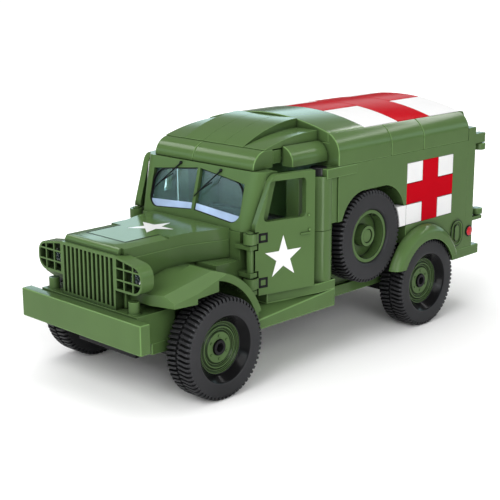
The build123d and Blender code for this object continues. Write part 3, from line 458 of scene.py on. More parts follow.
def moulding(
    name, shade, roughness, drift=0.05, marks=0.05, waves=0.6, skin=0.05, skin_scale=2500.0, painted_shade=0.6,
    sheen=1.0, more=None,
):
    """Moulded material: drifting colour, painted shade in seams and hollows, handling marks, a fine skin and
    its share of sheen.

    More gives further inputs of its shader.
    """
    material = bpy.data.materials.new(name)
    material.use_nodes = True
    tree = material.node_tree
    tint = effect(tree, moulded_tint(), {"Color": (*shade, 1.0), "Drift": drift})
    # Painted shade: ambient occlusion darkens the colour in seams and, with a wider reach, in hollows
    seam = effect(tree, seam_shade(), {"Color": tint, "Depth": painted_shade})
    hollow = {"Color": seam, "Depth": painted_shade * HOLLOW_SHARE, "Reach": HOLLOW_REACH}
    grain = effect(tree, mould_grain(), {"Waves": waves, "Skin": skin, "Skin Scale": skin_scale})
    feed(tree, tree.nodes["Principled BSDF"], {
        "Base Color": effect(tree, seam_shade(), hollow),
        "Roughness": effect(tree, handling_marks(), {"Roughness": roughness, "Marks": marks}),
        "Normal": add_node(tree, "ShaderNodeBump", {"Height": grain, **GRAIN_RELIEF}).outputs["Normal"],
        "Specular IOR Level": bpy.context.scene.ambulance_finish.sheen * sheen,
        **(more or {}),
    })
    return material


def toned(shade, share):
    """A colour made lighter or darker by a share."""
    return [part * share for part in shade]


def green_plastic(look):
    """Army green bricks."""
    return moulding("Moulded army green", look.green, look.gloss)


def slotted_green(look):
    """Army green with deep painted shade between close bars."""
    return moulding("Slotted army green", look.green, look.gloss, painted_shade=0.96)


def green_painted_highlight(look):
    """Rounded edges of the green bricks, made lighter than the faces as a painted highlight."""
    return moulding("Lit green edge", toned(look.green, look.painted_edge_light), look.gloss)


def rim_edge(look):
    """Shaded bends between the rings of a rim."""
    return moulding("Shaded rim bend", toned(look.green, RIM_BEND_SHADE), look.gloss)


def white_plastic(look):
    """White bricks."""
    return moulding("Moulded white", look.white, look.gloss, drift=0.02, sheen=0.0)


def red_plastic(look):
    """Red bricks."""
    return moulding("Moulded red", look.red, look.gloss, sheen=0.02)


def black_plastic(look):
    """Black chassis pieces."""
    return moulding("Moulded black", look.black, look.gloss, painted_shade=0.2)


def grey_plastic(look):
    """Dark grey cab pieces, duller than the bricks."""
    return moulding("Moulded dark grey", look.grey, look.gloss + 0.1)


def tyre_rubber(look):
    """Matte tyre walls and lugs."""
    return moulding(
        "Tyre rubber", look.rubber, roughness=0.42, drift=0.15, marks=0.15, waves=0.4, skin=0.25,
        skin_scale=1800.0,
    )


def rubber_painted_glint(look):
    """Edges of the tyres' lugs, made lighter than the rubber as a painted glint."""
    return moulding("Worn lug edge", toned(look.rubber, look.painted_edge_light), roughness=0.3)


def shaded_bead_rubber(look):
    """Polished inner wall of a tyre, its rubber darkened as painted shade."""
    return moulding(
        "Polished bead", toned(look.rubber, BEAD_SHADE), roughness=0.18, skin=0.02, sheen=0.6
    )


def red_lamp(look):
    """Tail lamp lenses."""
    return moulding("Lamp red", look.red, roughness=0.12, painted_shade=0.1, more={"Coat Weight": 0.6})


def clear_plastic(look):
    """Clear panes and lenses."""
    return moulding(
        "Clear moulding", look.clear, roughness=0.05, drift=0.02, marks=0.04, skin=0.0, waves=0.25,
        painted_shade=0.0, more={"Transmission Weight": 0.96, "IOR": 1.46},
    )


def painted_pane_reflection(look):
    """Painted reflection: the pale blue strip seen along the foot of the panes."""
    return moulding("Frosted clear", look.foot_reflection, roughness=0.2, drift=0.4, painted_shade=0.0)


def dark_line(look):
    """Shadow in the joints between panels."""
    return moulding("Joint shadow", toned(look.green, JOINT_SHADE), roughness=0.4, painted_shade=0.0)


def white_print(look):
    """Printed stars, a little duller than the bricks."""
    return moulding("White print", look.white, look.gloss + 0.06, drift=0.02, skin=0.15, painted_shade=0.0)


def lamp_silver(look):
    """Reflectors behind the headlamps."""
    return moulding(
        "Lamp silver", look.silver, roughness=0.16, drift=0.03, painted_shade=0.2, more={"Metallic": 1.0}
    )


FINISHES = {make.__name__: make for make in (
    green_plastic, slotted_green, green_painted_highlight, rim_edge, white_plastic, red_plastic, black_plastic,
    grey_plastic, tyre_rubber, rubber_painted_glint, shaded_bead_rubber, red_lamp, clear_plastic, painted_pane_reflection, dark_line,
    white_print, lamp_silver,
)}
NODE_FINISHES = {"grille": "slotted_green"}  # nodes in another finish than their slot's
# Edge finishes are lighter copies of their material: painted highlights on the rounded edges
EDGES = {"green_plastic": "green_painted_highlight", "tyre_rubber": "rubber_painted_glint"}  # finish of each slot's rounded edges


@cache
def finish(name):
    """Material of that finish, made the first time it is asked for."""
    return FINISHES[name](bpy.context.scene.ambulance_finish)


# Places on the lorry

SCREEN_LEAN = radians(14.0)
DOOR_TURN = radians(12.9)
DOOR_FACE = 1.1 * MM  # the door's outer face beyond its hinge


def wheel_place(node):
    """Plane of a wheel, its right pointing at the ground and its outward side the rim's face."""
    low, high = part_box(node)
    hub = (low + high) / 2
    face = -1 if node.startswith("spare") or hub.y < 0 else 1
    return placed(hub, (0, 0, -1), (0, face, 0))


def screen_place():
    """Plane of the windscreen's face, from the middle of its foot."""
    low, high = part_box("windscreen_frame")
    return placed((high.x, 0, low.z), (0, 1, 0), (cos(SCREEN_LEAN), 0, sin(SCREEN_LEAN)))


def door_place():
    """Plane of the left cab door's face, from its hinge at ground height."""
    swing = next(joint for joint in frame["joints"] if joint["name"] == "cab_door_left_swing")
    hinge = Vector(swing["pos_m"])
    normal = Vector((sin(DOOR_TURN), cos(DOOR_TURN), 0))
    origin = Vector((hinge.x, hinge.y, 0)) + normal * DOOR_FACE
    return placed(origin, (-cos(DOOR_TURN), sin(DOOR_TURN), 0), normal)


# Operators


class AMBULANCE_OT_finish_bricks(Operator):
    """Give every moulded piece its material and rounded edges"""

    bl_idname = "ambulance.finish_bricks"
    bl_label = "Finish bricks"

    WELD_REACH = 0.001 * MM
    FLAT_TURN = radians(0.5)  # faces that turn less than this become one

    def execute(self, context):
        look = context.scene.ambulance_finish
        for part in frame["record"]["subparts"]:
            name, slot = part["node"], part["material_slot"]
            node = frame["nodes"][name]
            node.data.materials.clear()
            node.data.materials.append(finish(NODE_FINISHES.get(name, slot)))
            weld = node.modifiers.new("Join faces", "WELD")
            weld.merge_threshold = self.WELD_REACH
            flat = node.modifiers.new("Whole faces", "DECIMATE")
            flat.decimate_type = "DISSOLVE"
            flat.angle_limit = self.FLAT_TURN
            soften(node, look.edge_round, "rim_edge" if "rim" in name else EDGES.get(slot))
        return {"FINISHED"}


class AMBULANCE_OT_build_tyres(Operator):
    """Road tyres and the spare, with bulged walls and two staggered rows of lugs"""

    bl_idname = "ambulance.build_tyres"
    bl_label = "Build tyres"

    # Carcass seen in section: radius, distance from the wheel's middle plane towards the rim's face
    BEAD = ((7.0, 1.4), (7.1, 2.0), (7.9, 2.9), (8.8, 3.8))  # polished inner wall
    WALL = ((9.15, 4.1), (9.6, 4.22))
    SHOULDER = ((10.6, 4.22), (11.8, 4.22), (12.5, 4.2), (12.75, 4.1), (12.9, 3.8), (13.0, 3.1), (13.05, 2.0))
    BACK = ((9.2, -4.22), (8.6, -4.15), (8.2, -3.85), (8.0, -3.4))
    SECTION = (*BEAD, *WALL, *SHOULDER, *((radius, -out) for radius, out in reversed(SHOULDER)), *BACK)
    STEPS = 120
    # Lug from the middle groove to the wall: distance out, top radius less the tyre's, foot radius less it
    LUG = (
        (0.0, 0.0, -1.1), (0.72, 0.0, -1.1), (0.88, -0.16, -1.2), (0.96, -0.5, -1.25), (0.985, -1.0, -1.35),
    )
    LUG_TAPER = 0.82  # width of a lug's top against its foot
    LUG_ROUND = 0.07 * MM
    SLANT = 0.35  # share of the pitch that a lug leans over its length

    def execute(self, context):
        sizes = context.scene.ambulance_tyres
        for name in (*(f"tyre_{wheel}" for wheel in WHEELS), "spare_tyre"):
            body = "model" if name.startswith("spare") else name.replace("tyre", "wheel")
            place = wheel_place(name)
            low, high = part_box(name)
            builder = bmesh.new()
            self.add_carcass(builder, place)
            self.add_lugs(builder, place, sizes, (high.z - low.z) / 2, (high.y - low.y) / 2)
            piece = new_piece(f"{name}_moulded", builder, "tyre_rubber", body, edge=self.LUG_ROUND)
            self.polish_and_shade_bead(piece, place)
            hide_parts(name)
        return {"FINISHED"}

    def add_carcass(self, builder, place):
        """Ring of the tyre's section turned about its axle."""
        loft(builder, [
            [place @ (about_axis(radius, turn, out) * MM) for radius, out in self.SECTION]
            for turn in (tau * step / self.STEPS for step in range(self.STEPS))
        ], loop=True)

    def add_lugs(self, builder, place, sizes, radius, half_width):
        """Two rows of lugs, the second half a pitch behind the first."""
        pitch = tau / sizes.lug_count
        half = sizes.lug_share * pitch / 2
        inner = sizes.groove / 2
        for row, offset in ((1, 0.0), (-1, 0.5)):
            for count in range(sizes.lug_count):
                sections = []
                for out, top, foot in self.LUG:
                    along = row * (inner + out * (half_width - inner))
                    middle = (count + offset + self.SLANT * out) * pitch
                    corners = ((foot, -1.0), (top, -self.LUG_TAPER), (top, self.LUG_TAPER), (foot, 1.0))
                    sections.append([
                        place @ about_axis(radius + rise * MM, middle + lean * half, along)
                        for rise, lean in corners
                    ])
                loft(builder, sections)

    def polish_and_shade_bead(self, piece, place):
        """Give the inner wall beside the rim its polished rubber, darkened as painted shade."""
        piece.data.materials.append(finish("shaded_bead_rubber"))
        edge = self.WALL[0][0] * MM
        back = place.inverted()
        for face in piece.data.polygons:
            spot = back @ face.center
            if spot.xy.length < edge and spot.z > 0:
                face.material_index = len(piece.data.materials) - 1


class AMBULANCE_OT_build_wheel_bolts(Operator):
    """Ring of small bolts round the hub of each road wheel"""

    bl_idname = "ambulance.build_wheel_bolts"
    bl_label = "Build wheel bolts"

    DISC = 1.45 * MM  # rim's middle disc beyond the wheel's middle plane
    HEIGHT = 0.22 * MM
    HEAD = ((1.0, -1.0), (1.0, 0.5), (0.7, 1.0))  # shares of the bolt's radius and of its height
    FLATS = 6

    def execute(self, context):
        sizes = context.scene.ambulance_tyres
        head = [(sizes.bolt_radius * wide, self.DISC + self.HEIGHT * up) for wide, up in self.HEAD]
        for wheel in WHEELS:
            place = wheel_place(f"tyre_{wheel}")
            builder = bmesh.new()
            for count in range(sizes.bolt_count):
                spot = about_axis(sizes.bolt_circle, tau * count / sizes.bolt_count, 0)
                turned(builder, head, place @ Matrix.Translation(spot), self.FLATS)
            new_piece(f"wheel_bolts_{wheel}", builder, "green_plastic", f"wheel_{wheel}")
        return {"FINISHED"}


class AMBULANCE_OT_print_stars(Operator):
    """White five-pointed stars on the bonnet and the cab doors"""

    bl_idname = "ambulance.print_stars"
    bl_label = "Print stars"

    SINK = 0.03 * MM  # foot of the print inside the plastic
    DOOR_SPOT = (10.0 * MM, 33.3 * MM)  # star's middle behind the hinge, and its height

    def execute(self, context):
        trim = context.scene.ambulance_trim
        bonnet = level_place((trim.bonnet_star_x, 0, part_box("bonnet_top")[1].z))
        self.print_star("star_bonnet", bonnet, trim.bonnet_star, pi, "model")
        door = door_place() @ Matrix.Translation((*self.DOOR_SPOT, 0))
        for side, place in both_sides(door):
            self.print_star(f"star_door_{side}", place, trim.door_star, pi / 2, f"cab_door_{side}")
        return {"FINISHED"}

    def print_star(self, name, place, radius, heading, body):
        """One star as a thin layer of paint."""
        builder = bmesh.new()
        thick = bpy.context.scene.ambulance_trim.print_thick
        prism(builder, star_outline(radius, heading), place, -self.SINK, thick)
        new_piece(name, builder, "white_plastic", body, finish_name="white_print")


class AMBULANCE_OT_trim_windscreen(Operator):
    """Black seals round the panes, the pale blue foot strip before them as a painted reflection, and the two
    wipers
    """

    bl_idname = "ambulance.trim_windscreen"
    bl_label = "Trim windscreen"

    # Left pane's corners: out from the middle, up from the frame's foot, radius
    PANE = ((0.55, 3.195, 0), (18.5, 1.546, 3.2), (18.5, 12.883, 5.0), (0.55, 15.15, 0))
    # Left half of the foot strip: out from the middle, up from the frame's foot
    FOOT = ((0.0, 2.4), (18.2, 0.75), (18.2, 4.0), (0.0, 5.2))
    # Back and front of each piece, beyond the frame's face
    SEAL_DEPTH = (-1.0 * MM, -0.3 * MM)
    FOOT_DEPTH = (-1.0 * MM, -0.6 * MM)
    ARM_DEPTH = (0.16 * MM, 0.5 * MM)
    BLADE_DEPTH = (0.0, 0.34 * MM)
    # Wipers: head and tip, each out from the middle and up from the frame's foot
    WIPERS = (((8.8, 15.46), (-0.2, 7.11)), ((-7.5, 15.67), (-16.8, 7.42)))
    PIVOT = ((0.45, -0.1), (0.45, 0.45), (0.3, 0.6))  # pivot's radius, distance beyond the frame's face
    PIVOT_STEPS = 16
    ARM_SHARE = 0.74  # how far down the arm reaches
    BLADE_SHARE = 0.34  # where the blade starts
    BLADE_ASIDE = 0.75 * MM
    BLADE_TAPER = 0.8  # blade's width against the arm's
    WIPER_ROUND = 0.05 * MM

    def execute(self, context):
        trim = context.scene.ambulance_trim
        place = screen_place()
        self.add_seals(place, trim)
        self.add_foot(place)
        self.add_wipers(place, trim)
        return {"FINISHED"}

    def add_seals(self, place, trim):
        """Strip along each pane's edge, open at the middle bar."""
        builder = bmesh.new()
        edge = rounded(metres(self.PANE))
        for _, pane in both_sides(place):
            strip(builder, edge, pane, trim.seal_width, *self.SEAL_DEPTH)
        new_piece("windscreen_seals", builder, "black_plastic", "model")

    def add_foot(self, place):
        """Pale blue strip along the foot of the panes, a painted reflection."""
        builder = bmesh.new()
        for _, pane in both_sides(place):
            prism(builder, metres(self.FOOT), pane, *self.FOOT_DEPTH)
        new_piece("windscreen_foot", builder, "clear_plastic", "model", finish_name="painted_pane_reflection")

    def add_wipers(self, place, trim):
        """Pivot, arm and blade of each wiper."""
        builder = bmesh.new()
        wide = trim.blade_width
        for ends in self.WIPERS:
            head, tip = metres(ends)
            run = tip - head
            aside = Vector((-run.y, run.x)).normalized() * self.BLADE_ASIDE
            elbow = head + run * self.ARM_SHARE
            blade = [head + run * self.BLADE_SHARE + aside, elbow, tip]
            turned(builder, metres(self.PIVOT), place @ Matrix.Translation((*head, 0)), self.PIVOT_STEPS)
            strip(builder, [head, elbow], place, wide, *self.ARM_DEPTH)
            strip(builder, blade, place, wide * self.BLADE_TAPER, *self.BLADE_DEPTH)
        wipers = new_piece("wiper_arms", builder, "black_plastic", "model", edge=self.WIPER_ROUND)
        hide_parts("wipers")


class AMBULANCE_OT_fit_lamps(Operator):
    """Headlamp bowls and lenses, and domed tail lamps in dark rings"""

    bl_idname = "ambulance.fit_lamps"
    bl_label = "Fit lamps"

    # Housing up to the lens's foot: shares of the lamp's radius and of its depth
    BOWL = ((1.0, 0.0), (1.0, 0.55), (0.86, 0.6))
    RING = ((1.0, 0.0), (1.0, 0.45), (0.8, 0.5))
    RING_ROUND = 0.05 * MM
    STEPS = 40
    DOME_STEPS = 7
    DOME_TIP = 0.02  # radius of the small flat on a lens's tip against the lens's own

    def execute(self, context):
        bowls, lenses, tails, rings = (bmesh.new() for _ in range(4))
        low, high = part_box("headlamps")
        radius = (high.z - low.z) / 2
        for _, sign in SIDES:
            place = placed((low.x, sign * (high.y - radius), low.z + radius), (0, 1, 0), (1, 0, 0))
            self.add_lamp(bowls, lenses, place, self.BOWL, radius, high.x - low.x)
        low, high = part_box("tail_lamps")
        radius = (high.z - low.z) / 2
        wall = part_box("box_wall_right")[0].y
        for _, sign in SIDES:
            place = placed((low.x + radius, sign * -wall, low.z + radius), (sign, 0, 0), (0, sign, 0))
            self.add_lamp(rings, tails, place, self.RING, radius, wall - low.y)
        bowl = new_piece("headlamp_bowls", bowls, "clear_plastic", "model", finish_name="lamp_silver")
        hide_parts("headlamps")
        new_piece("headlamp_lenses", lenses, "clear_plastic", "model")
        ring = new_piece("tail_lamp_rings", rings, "black_plastic", "model", edge=self.RING_ROUND)
        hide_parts("tail_lamps")
        new_piece("tail_lamp_lenses", tails, "red_lamp", "model")
        return {"FINISHED"}

    def add_lamp(self, housings, lenses, place, housing, radius, depth):
        """A lamp's housing and the low dome of its lens."""
        shape = [(radius * wide, depth * out) for wide, out in housing]
        turned(housings, shape, place, self.STEPS)
        wide, foot = shape[-1]
        turns = [pi / 2 * step / self.DOME_STEPS for step in range(self.DOME_STEPS + 1)]
        dome = [(wide * (cos(turn) + self.DOME_TIP), foot + (depth - foot) * sin(turn)) for turn in turns]
        turned(lenses, dome, place, self.STEPS)


class AMBULANCE_OT_fit_doors(Operator):
    """Dark clip outlines painted as shadow, handle, and studs with painted highlights on the cab doors"""

    bl_idname = "ambulance.fit_doors"
    bl_label = "Fit door hardware"

    CLIP_OUT = (2.0, 4.95)  # clip's pad behind the hinge
    CLIPS = ((25.65, 28.55), (38.25, 40.95))  # lower and upper height of each pad
    # Width of the painted shadow line round each pad
    CLIP_LINE = 0.7
    CLIP_DEPTH = (-0.02 * MM, 0.03 * MM)  # back and front of a line, beyond the door's face
    HANDLE_SPOT = (17.3 * MM, 39.1 * MM)  # handle's middle behind the hinge, and its height
    HANDLE_WIDE = 0.5 * MM
    HANDLE_CORNER = 0.2 * MM
    HANDLE_ROUND = 0.04 * MM
    HANDLE_DEPTH = (-0.05 * MM, 0.35 * MM)
    STUDS = ((18.6, 40.0), (18.4, 44.1))  # small studs behind the hinge, and their height
    STUD = ((0.36, -0.05), (0.36, 0.25), (0.216, 0.4))  # stud's radius, distance beyond the door's face
    STUD_STEPS = 14

    def execute(self, context):
        trim = context.scene.ambulance_trim
        for side, place in both_sides(door_place()):
            self.paint_clip_shadows(side, place)
            self.add_handle(side, place, trim.handle_length / 2)
            self.add_studs(side, place)
        return {"FINISHED"}

    def paint_clip_shadows(self, side, place):
        """Painted shadow: a dark line round each hinge clip's pad, in the gap where shade falls."""
        builder = bmesh.new()
        front, rear = self.CLIP_OUT
        line = self.CLIP_LINE
        for low, high in self.CLIPS:
            runs = (
                ((front, front + line), (low, high)), ((rear - line, rear), (low, high)),
                ((front, rear), (low, low + line)), ((front, rear), (high - line, high)),
            )
            for across, upward in runs:
                prism(builder, oblong(across, upward, MM), place, *self.CLIP_DEPTH)
        new_piece(f"door_clip_lines_{side}", builder, "black_plastic", f"cab_door_{side}")

    def add_handle(self, side, place, half):
        """Handle bar with rounded corners."""
        builder = bmesh.new()
        u, v = self.HANDLE_SPOT
        rise = self.HANDLE_WIDE / 2
        corners = oblong((u - half, u + half), (v - rise, v + rise))
        bar = rounded([(*corner, self.HANDLE_CORNER) for corner in corners], steps=3)
        prism(builder, bar, place, *self.HANDLE_DEPTH)
        body = f"cab_door_{side}"
        new_piece(f"door_handle_{side}", builder, "green_plastic", body, edge=self.HANDLE_ROUND)

    def add_studs(self, side, place):
        """Small studs beside the handle and the window, in the lighter edge finish as painted highlights."""
        builder = bmesh.new()
        for spot in metres(self.STUDS):
            turned(builder, metres(self.STUD), place @ Matrix.Translation((*spot, 0)), self.STUD_STEPS)
        body = f"cab_door_{side}"
        new_piece(f"door_studs_{side}", builder, "green_plastic", body, finish_name="green_painted_highlight")


class AMBULANCE_OT_trim_body(Operator):
    """Ledge bricks and black pillar caps as painted shade, the filler's and the bonnet's lines, and shadows
    in the grille
    """

    bl_idname = "ambulance.trim_body"
    bl_label = "Trim body"

    # Left bricks over and behind the pillar: x, y and height
    LEDGE = (((-6.6, 6.6), (24.4, 28.2), (52.7, 55.5)), ((1.4, 3.9), (23.9, 27.6), (39.6, 52.7)))
    LEDGE_ROUND = 0.2 * MM
    # Brick behind the brow's end: how far it reaches back and in, and its room outside, under and over
    BROW_END = (3.5, 6.0, 0.1, 1.0, 0.4)
    CAP = ((2.55, -1.9), (2.55, 0.1), (2.3, 0.3))  # cap's radius, height over the pillar
    CAP_AHEAD = 4.0 * MM  # its middle ahead of the pillar's back
    CAP_OUT = 6 / 7  # its middle's share of the pillar's reach from the lorry's middle
    CAP_STEPS = 32
    FILLER = (-57.5, 28.4, 26.2)  # filler's middle on the left wall
    FILLER_LINES = ((6.4, 8.6), (2.8, 5.6))  # width and height of each outline
    FILLER_ROUND = 0.98  # corner radius against half the width
    PANEL = ((51.3, 63.1), 8.0)  # bonnet panel's ends along the lorry, and its half width
    LINE = 0.26 * MM
    WALL_DEPTH = (-0.5 * MM, 0.02 * MM)  # back and front of a line, beyond its wall's face
    TOP_DEPTH = (-0.2 * MM, 0.02 * MM)
    # Left openings of the grille: depth behind its face, y, and room over its foot and under its top
    OPENINGS = ((2.5, (0.0, 10.3), (0.8, 0.8)), (3.3, (12.3, 20.4), (6.3, 2.4)))
    SHADOW_THICK = 0.08 * MM

    def execute(self, context):
        self.add_ledges()
        self.add_caps()
        self.add_lines()
        self.add_shadows()
        return {"FINISHED"}

    def add_ledges(self):
        """Bricks over and behind each pillar, bridging to the box's wall, and behind each end of the brow."""
        builder = bmesh.new()
        low, high = (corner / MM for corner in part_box("brow"))
        back, inside, outside, under, over = self.BROW_END
        brow_end = (
            (low.x - back, low.x), (high.y - inside, high.y - outside), (low.z + under, high.z - over),
        )
        for along, across, (foot, top) in (*self.LEDGE, brow_end):
            for _, place in both_sides(level_place((0, 0, 0))):
                prism(builder, oblong(along, across, MM), place, foot * MM, top * MM)
        new_piece("ledge_bricks", builder, "green_plastic", "model", edge=self.LEDGE_ROUND)

    def add_caps(self):
        """Black round cap on each pillar's top: painted shade over the pillar's own green cap."""
        builder = bmesh.new()
        for side, sign in SIDES:
            low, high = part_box(f"pillar_{side}")
            reach = high.y if sign > 0 else low.y
            place = level_place((low.x + self.CAP_AHEAD, reach * self.CAP_OUT, high.z))
            turned(builder, metres(self.CAP), place, self.CAP_STEPS)
        new_piece("pillar_caps", builder, "black_plastic", "model")

    def add_lines(self):
        """Dark outlines of the filler in the left wall and of the bonnet's panel."""
        builder = bmesh.new()
        wall = placed(Vector(self.FILLER) * MM, (-1, 0, 0), (0, 1, 0))
        for wide, tall in self.FILLER_LINES:
            u, v = wide / 2, tall / 2
            corners = oblong((-u, u), (-v, v), MM)
            outline = rounded([(*corner, u * self.FILLER_ROUND * MM) for corner in corners])
            strip(builder, outline, wall, self.LINE, *self.WALL_DEPTH, closed=True)
        (rear, front), half = self.PANEL
        top = level_place((0, 0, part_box("bonnet_top")[1].z))
        corners = metres(((rear, half), (front, half), (front, -half), (rear, -half)))
        for run in zip(corners, corners[1:]):
            strip(builder, run, top, self.LINE, *self.TOP_DEPTH)
        new_piece("body_lines", builder, "black_plastic", "model", finish_name="dark_line")

    def add_shadows(self):
        """Dark plates behind the grille's slots and in the lamp guards."""
        builder = bmesh.new()
        low, high = (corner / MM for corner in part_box("grille"))
        for depth, across, (rise, drop) in self.OPENINGS:
            left = placed(((high.x - depth) * MM, 0, 0), (0, 1, 0), (1, 0, 0))
            for _, place in both_sides(left):
                plate = oblong(across, (low.z + rise, high.z - drop), MM)
                prism(builder, plate, place, 0.0, self.SHADOW_THICK)
        new_piece("grille_shadows", builder, "black_plastic", "model", finish_name="dark_line")


class AMBULANCE_OT_set_stage(Operator):
    """Floor, backdrop light, soft lamps and camera"""

    bl_idname = "ambulance.set_stage"
    bl_label = "Set stage"

    # The stage's own sizes and places are in metres
    FLOOR_REACH = 8.0
    # Mirrored backdrop: sine of its height above the floor, shade
    BANDS = (
        (0.135, (0.04, 0.04, 0.04, 1.0)), (0.17, (0.70, 0.95, 1.0, 1.0)), (0.28, (0.70, 0.95, 1.0, 1.0)),
        (0.38, (0.12, 0.12, 0.12, 1.0)), (1.0, (0.12, 0.12, 0.12, 1.0)),
    )
    # Soft lamps: name, place, width, setting that holds their watts
    LAMPS = (
        ("Key lamp", (0.62, 0.12, 0.55), 0.5, "key"),
        ("Fill lamp", (0.27, 0.42, 0.24), 0.25, "fill"),
        ("Top lamp", (-0.12, -0.08, 0.8), 0.55, "top"),
    )
    # Strip lamps that only mirrors show: name, place, length, height
    STRIPS = (
        ("Right strip", (0.226, -0.574, 0.556), 0.30, 0.14),
        ("Back strip", (-0.66, 0.13, 0.53), 1.1, 0.07),
        ("Side strip", (0.023, 0.126, 0.022), 0.03, 0.045),
    )

    def execute(self, context):
        stage = context.scene.ambulance_stage
        context.scene.view_settings.view_transform = "Standard"
        self.lay_floor(context, stage)
        self.light_sky(context, stage)
        for name, place, wide, setting in self.LAMPS:
            self.hang_lamp(context, name, place, (wide, wide), getattr(stage, setting))
        for name, place, wide, tall in self.STRIPS:
            lamp = self.hang_lamp(context, name, place, (wide, tall), stage.strip * pi * wide * tall)
            lamp.visible_diffuse = lamp.visible_camera = lamp.visible_transmission = False
        self.stand_camera(context, stage)
        return {"FINISHED"}

    def ray_kinds(self, tree):
        """Two factors: a ray from the camera or through glass, and a mirrored ray."""
        path = add_node(tree, "ShaderNodeLightPath").outputs
        seen = reckon(tree, "ADD", path["Is Camera Ray"], path["Is Transmission Ray"], use_clamp=True)
        return seen, path["Is Glossy Ray"]

    def lay_floor(self, context, stage):
        """Wide pale floor that takes the lorry's shadow and whitens away from it."""
        span = (-self.FLOOR_REACH, self.FLOOR_REACH)
        mesh = bpy.data.meshes.new("studio_floor")
        mesh.from_pydata([(*corner, cad_box[0].z) for corner in oblong(span, span)], [], [range(4)])
        floor = bpy.data.objects.new("studio_floor", mesh)
        context.scene.collection.objects.link(floor)
        material = bpy.data.materials.new("Studio floor")
        material.use_nodes = True
        tree = material.node_tree
        tree.nodes.remove(tree.nodes["Principled BSDF"])
        away = add_node(
            tree, "ShaderNodeVectorMath", {0: object_place(tree), 1: cad_middle}, operation="DISTANCE"
        )
        whitening = add_node(
            tree, "ShaderNodeMapRange",
            {
                "Value": away.outputs["Value"], "To Max": stage.far_lift,
                "From Min": stage.lift_start, "From Max": stage.lift_end,
            },
            interpolation_type="SMOOTHSTEP",
        )
        lift = reckon(tree, "MULTIPLY", self.ray_kinds(tree)[0], whitening.outputs["Result"])
        pale = (stage.floor, stage.floor, stage.floor, 1.0)
        matte = add_node(tree, "ShaderNodeBsdfDiffuse", {"Color": pale})
        glow = add_node(tree, "ShaderNodeEmission", {"Strength": lift})
        both = add_node(tree, "ShaderNodeAddShader", {0: matte.outputs[0], 1: glow.outputs[0]})
        feed(tree, tree.nodes["Material Output"], {"Surface": both.outputs[0]})
        mesh.materials.append(material)

    def light_sky(self, context, stage):
        """Even light from all round: white where it is seen, a bluish band where it is mirrored."""
        world = bpy.data.worlds.new("Studio")
        world.use_nodes = True
        context.scene.world = world
        tree = world.node_tree
        light = feed(tree, tree.nodes["Background"], {"Strength": stage.sky, "Color": WHITE})
        direction = add_node(tree, "ShaderNodeTexCoord").outputs["Generated"]
        height = add_node(tree, "ShaderNodeSeparateXYZ", {0: direction}).outputs["Z"]
        ramp = add_node(tree, "ShaderNodeValToRGB", {"Fac": height})
        bands = ramp.color_ramp.elements
        bands[0].position, bands[0].color = self.BANDS[0]
        bands[1].position, bands[1].color = self.BANDS[-1]
        for position, shade in self.BANDS[1:-1]:
            bands.new(position).color = shade
        backdrop = add_node(
            tree, "ShaderNodeBackground", {"Color": ramp.outputs["Color"], "Strength": stage.mirror}
        )
        white = add_node(tree, "ShaderNodeBackground", {"Color": WHITE})
        seen, mirrored = self.ray_kinds(tree)
        unseen = add_node(
            tree, "ShaderNodeMixShader", {"Fac": mirrored, 1: light.outputs[0], 2: backdrop.outputs[0]}
        )
        choice = add_node(
            tree, "ShaderNodeMixShader", {"Fac": seen, 1: unseen.outputs[0], 2: white.outputs[0]}
        )
        feed(tree, tree.nodes["World Output"], {"Surface": choice.outputs[0]})

    def hang_lamp(self, context, name, place, size, watts):
        """Soft lamp of a width and a height, aimed at the lorry's middle."""
        data = bpy.data.lights.new(name, "AREA")
        data.shape = "RECTANGLE"
        data.size, data.size_y = size
        data.energy = watts
        lamp = bpy.data.objects.new(name, data)
        lamp.location = place
        lamp.rotation_mode = "QUATERNION"
        lamp.rotation_quaternion = (cad_middle - Vector(place)).to_track_quat("-Z", "Y")
        context.scene.collection.objects.link(lamp)
        return lamp

    def stand_camera(self, context, stage):
        """Camera at the picture's place, heading, tilt and lens."""
        yaw, pitch, roll = stage.camera_yaw, stage.camera_pitch, stage.camera_roll
        ahead = Vector((cos(pitch) * cos(yaw), cos(pitch) * sin(yaw), -sin(pitch)))
        level = Vector((sin(yaw), -cos(yaw), 0))
        up = level.cross(ahead)
        right = level * cos(roll) + up * sin(roll)
        top = up * cos(roll) - level * sin(roll)
        data = bpy.data.cameras.new("Picture camera")
        data.lens = stage.lens
        data.sensor_width = 36.0
        data.clip_start = 0.01
        camera = bpy.data.objects.new("Picture camera", data)
        axes = Matrix((right, top, -ahead)).transposed().to_4x4()
        camera.matrix_world = Matrix.Translation(Vector(stage.camera_place)) @ axes
        context.scene.collection.objects.link(camera)
        context.scene.camera = camera


OPERATORS = (
    AMBULANCE_OT_finish_bricks,
    AMBULANCE_OT_build_tyres,
    AMBULANCE_OT_build_wheel_bolts,
    AMBULANCE_OT_print_stars,
    AMBULANCE_OT_trim_windscreen,
    AMBULANCE_OT_fit_lamps,
    AMBULANCE_OT_fit_doors,
    AMBULANCE_OT_trim_body,
    AMBULANCE_OT_set_stage,
)
SETTINGS = {
    "ambulance_finish": AmbulanceFinish,
    "ambulance_tyres": AmbulanceTyres,
    "ambulance_trim": AmbulanceTrim,
    "ambulance_stage": AmbulanceStage,
}


class AMBULANCE_PT_build(Panel):
    """Sidebar panel with the lorry's settings and its building steps"""

    bl_label = "Ambulance lorry"
    bl_space_type = "VIEW_3D"
    bl_region_type = "UI"
    bl_category = "Ambulance"

    def draw(self, context):
        for name, group in SETTINGS.items():
            box = self.layout.box()
            for field in group.__annotations__:
                box.prop(getattr(context.scene, name), field)
        for operator in OPERATORS:
            self.layout.operator(operator.bl_idname)


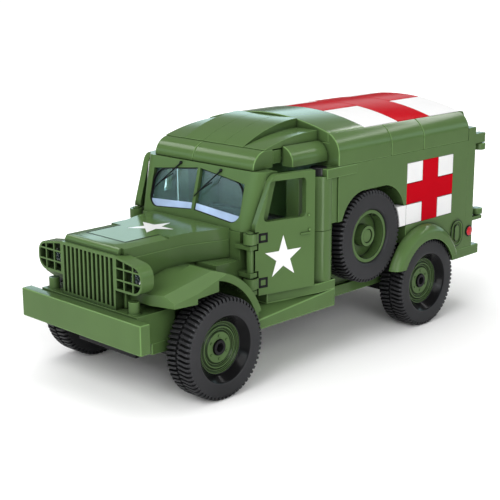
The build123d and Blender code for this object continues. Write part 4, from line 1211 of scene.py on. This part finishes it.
def register():
    """Register the settings, the operators and the panel."""
    for group in (*SETTINGS.values(), *OPERATORS, AMBULANCE_PT_build):
        bpy.utils.register_class(group)
    for name, group in SETTINGS.items():
        setattr(bpy.types.Scene, name, PointerProperty(type=group))


def unregister():
    """Take the settings, the operators and the panel away again."""
    for name in SETTINGS:
        delattr(bpy.types.Scene, name)
    for group in (AMBULANCE_PT_build, *reversed(OPERATORS), *reversed(SETTINGS.values())):
        bpy.utils.unregister_class(group)


def main():
    """Dress the lorry piece by piece and set the stage."""
    register()
    for operator in OPERATORS:
        family, name = operator.bl_idname.split(".")
        getattr(getattr(bpy.ops, family), name)()


if __name__ == "__main__":
    main()
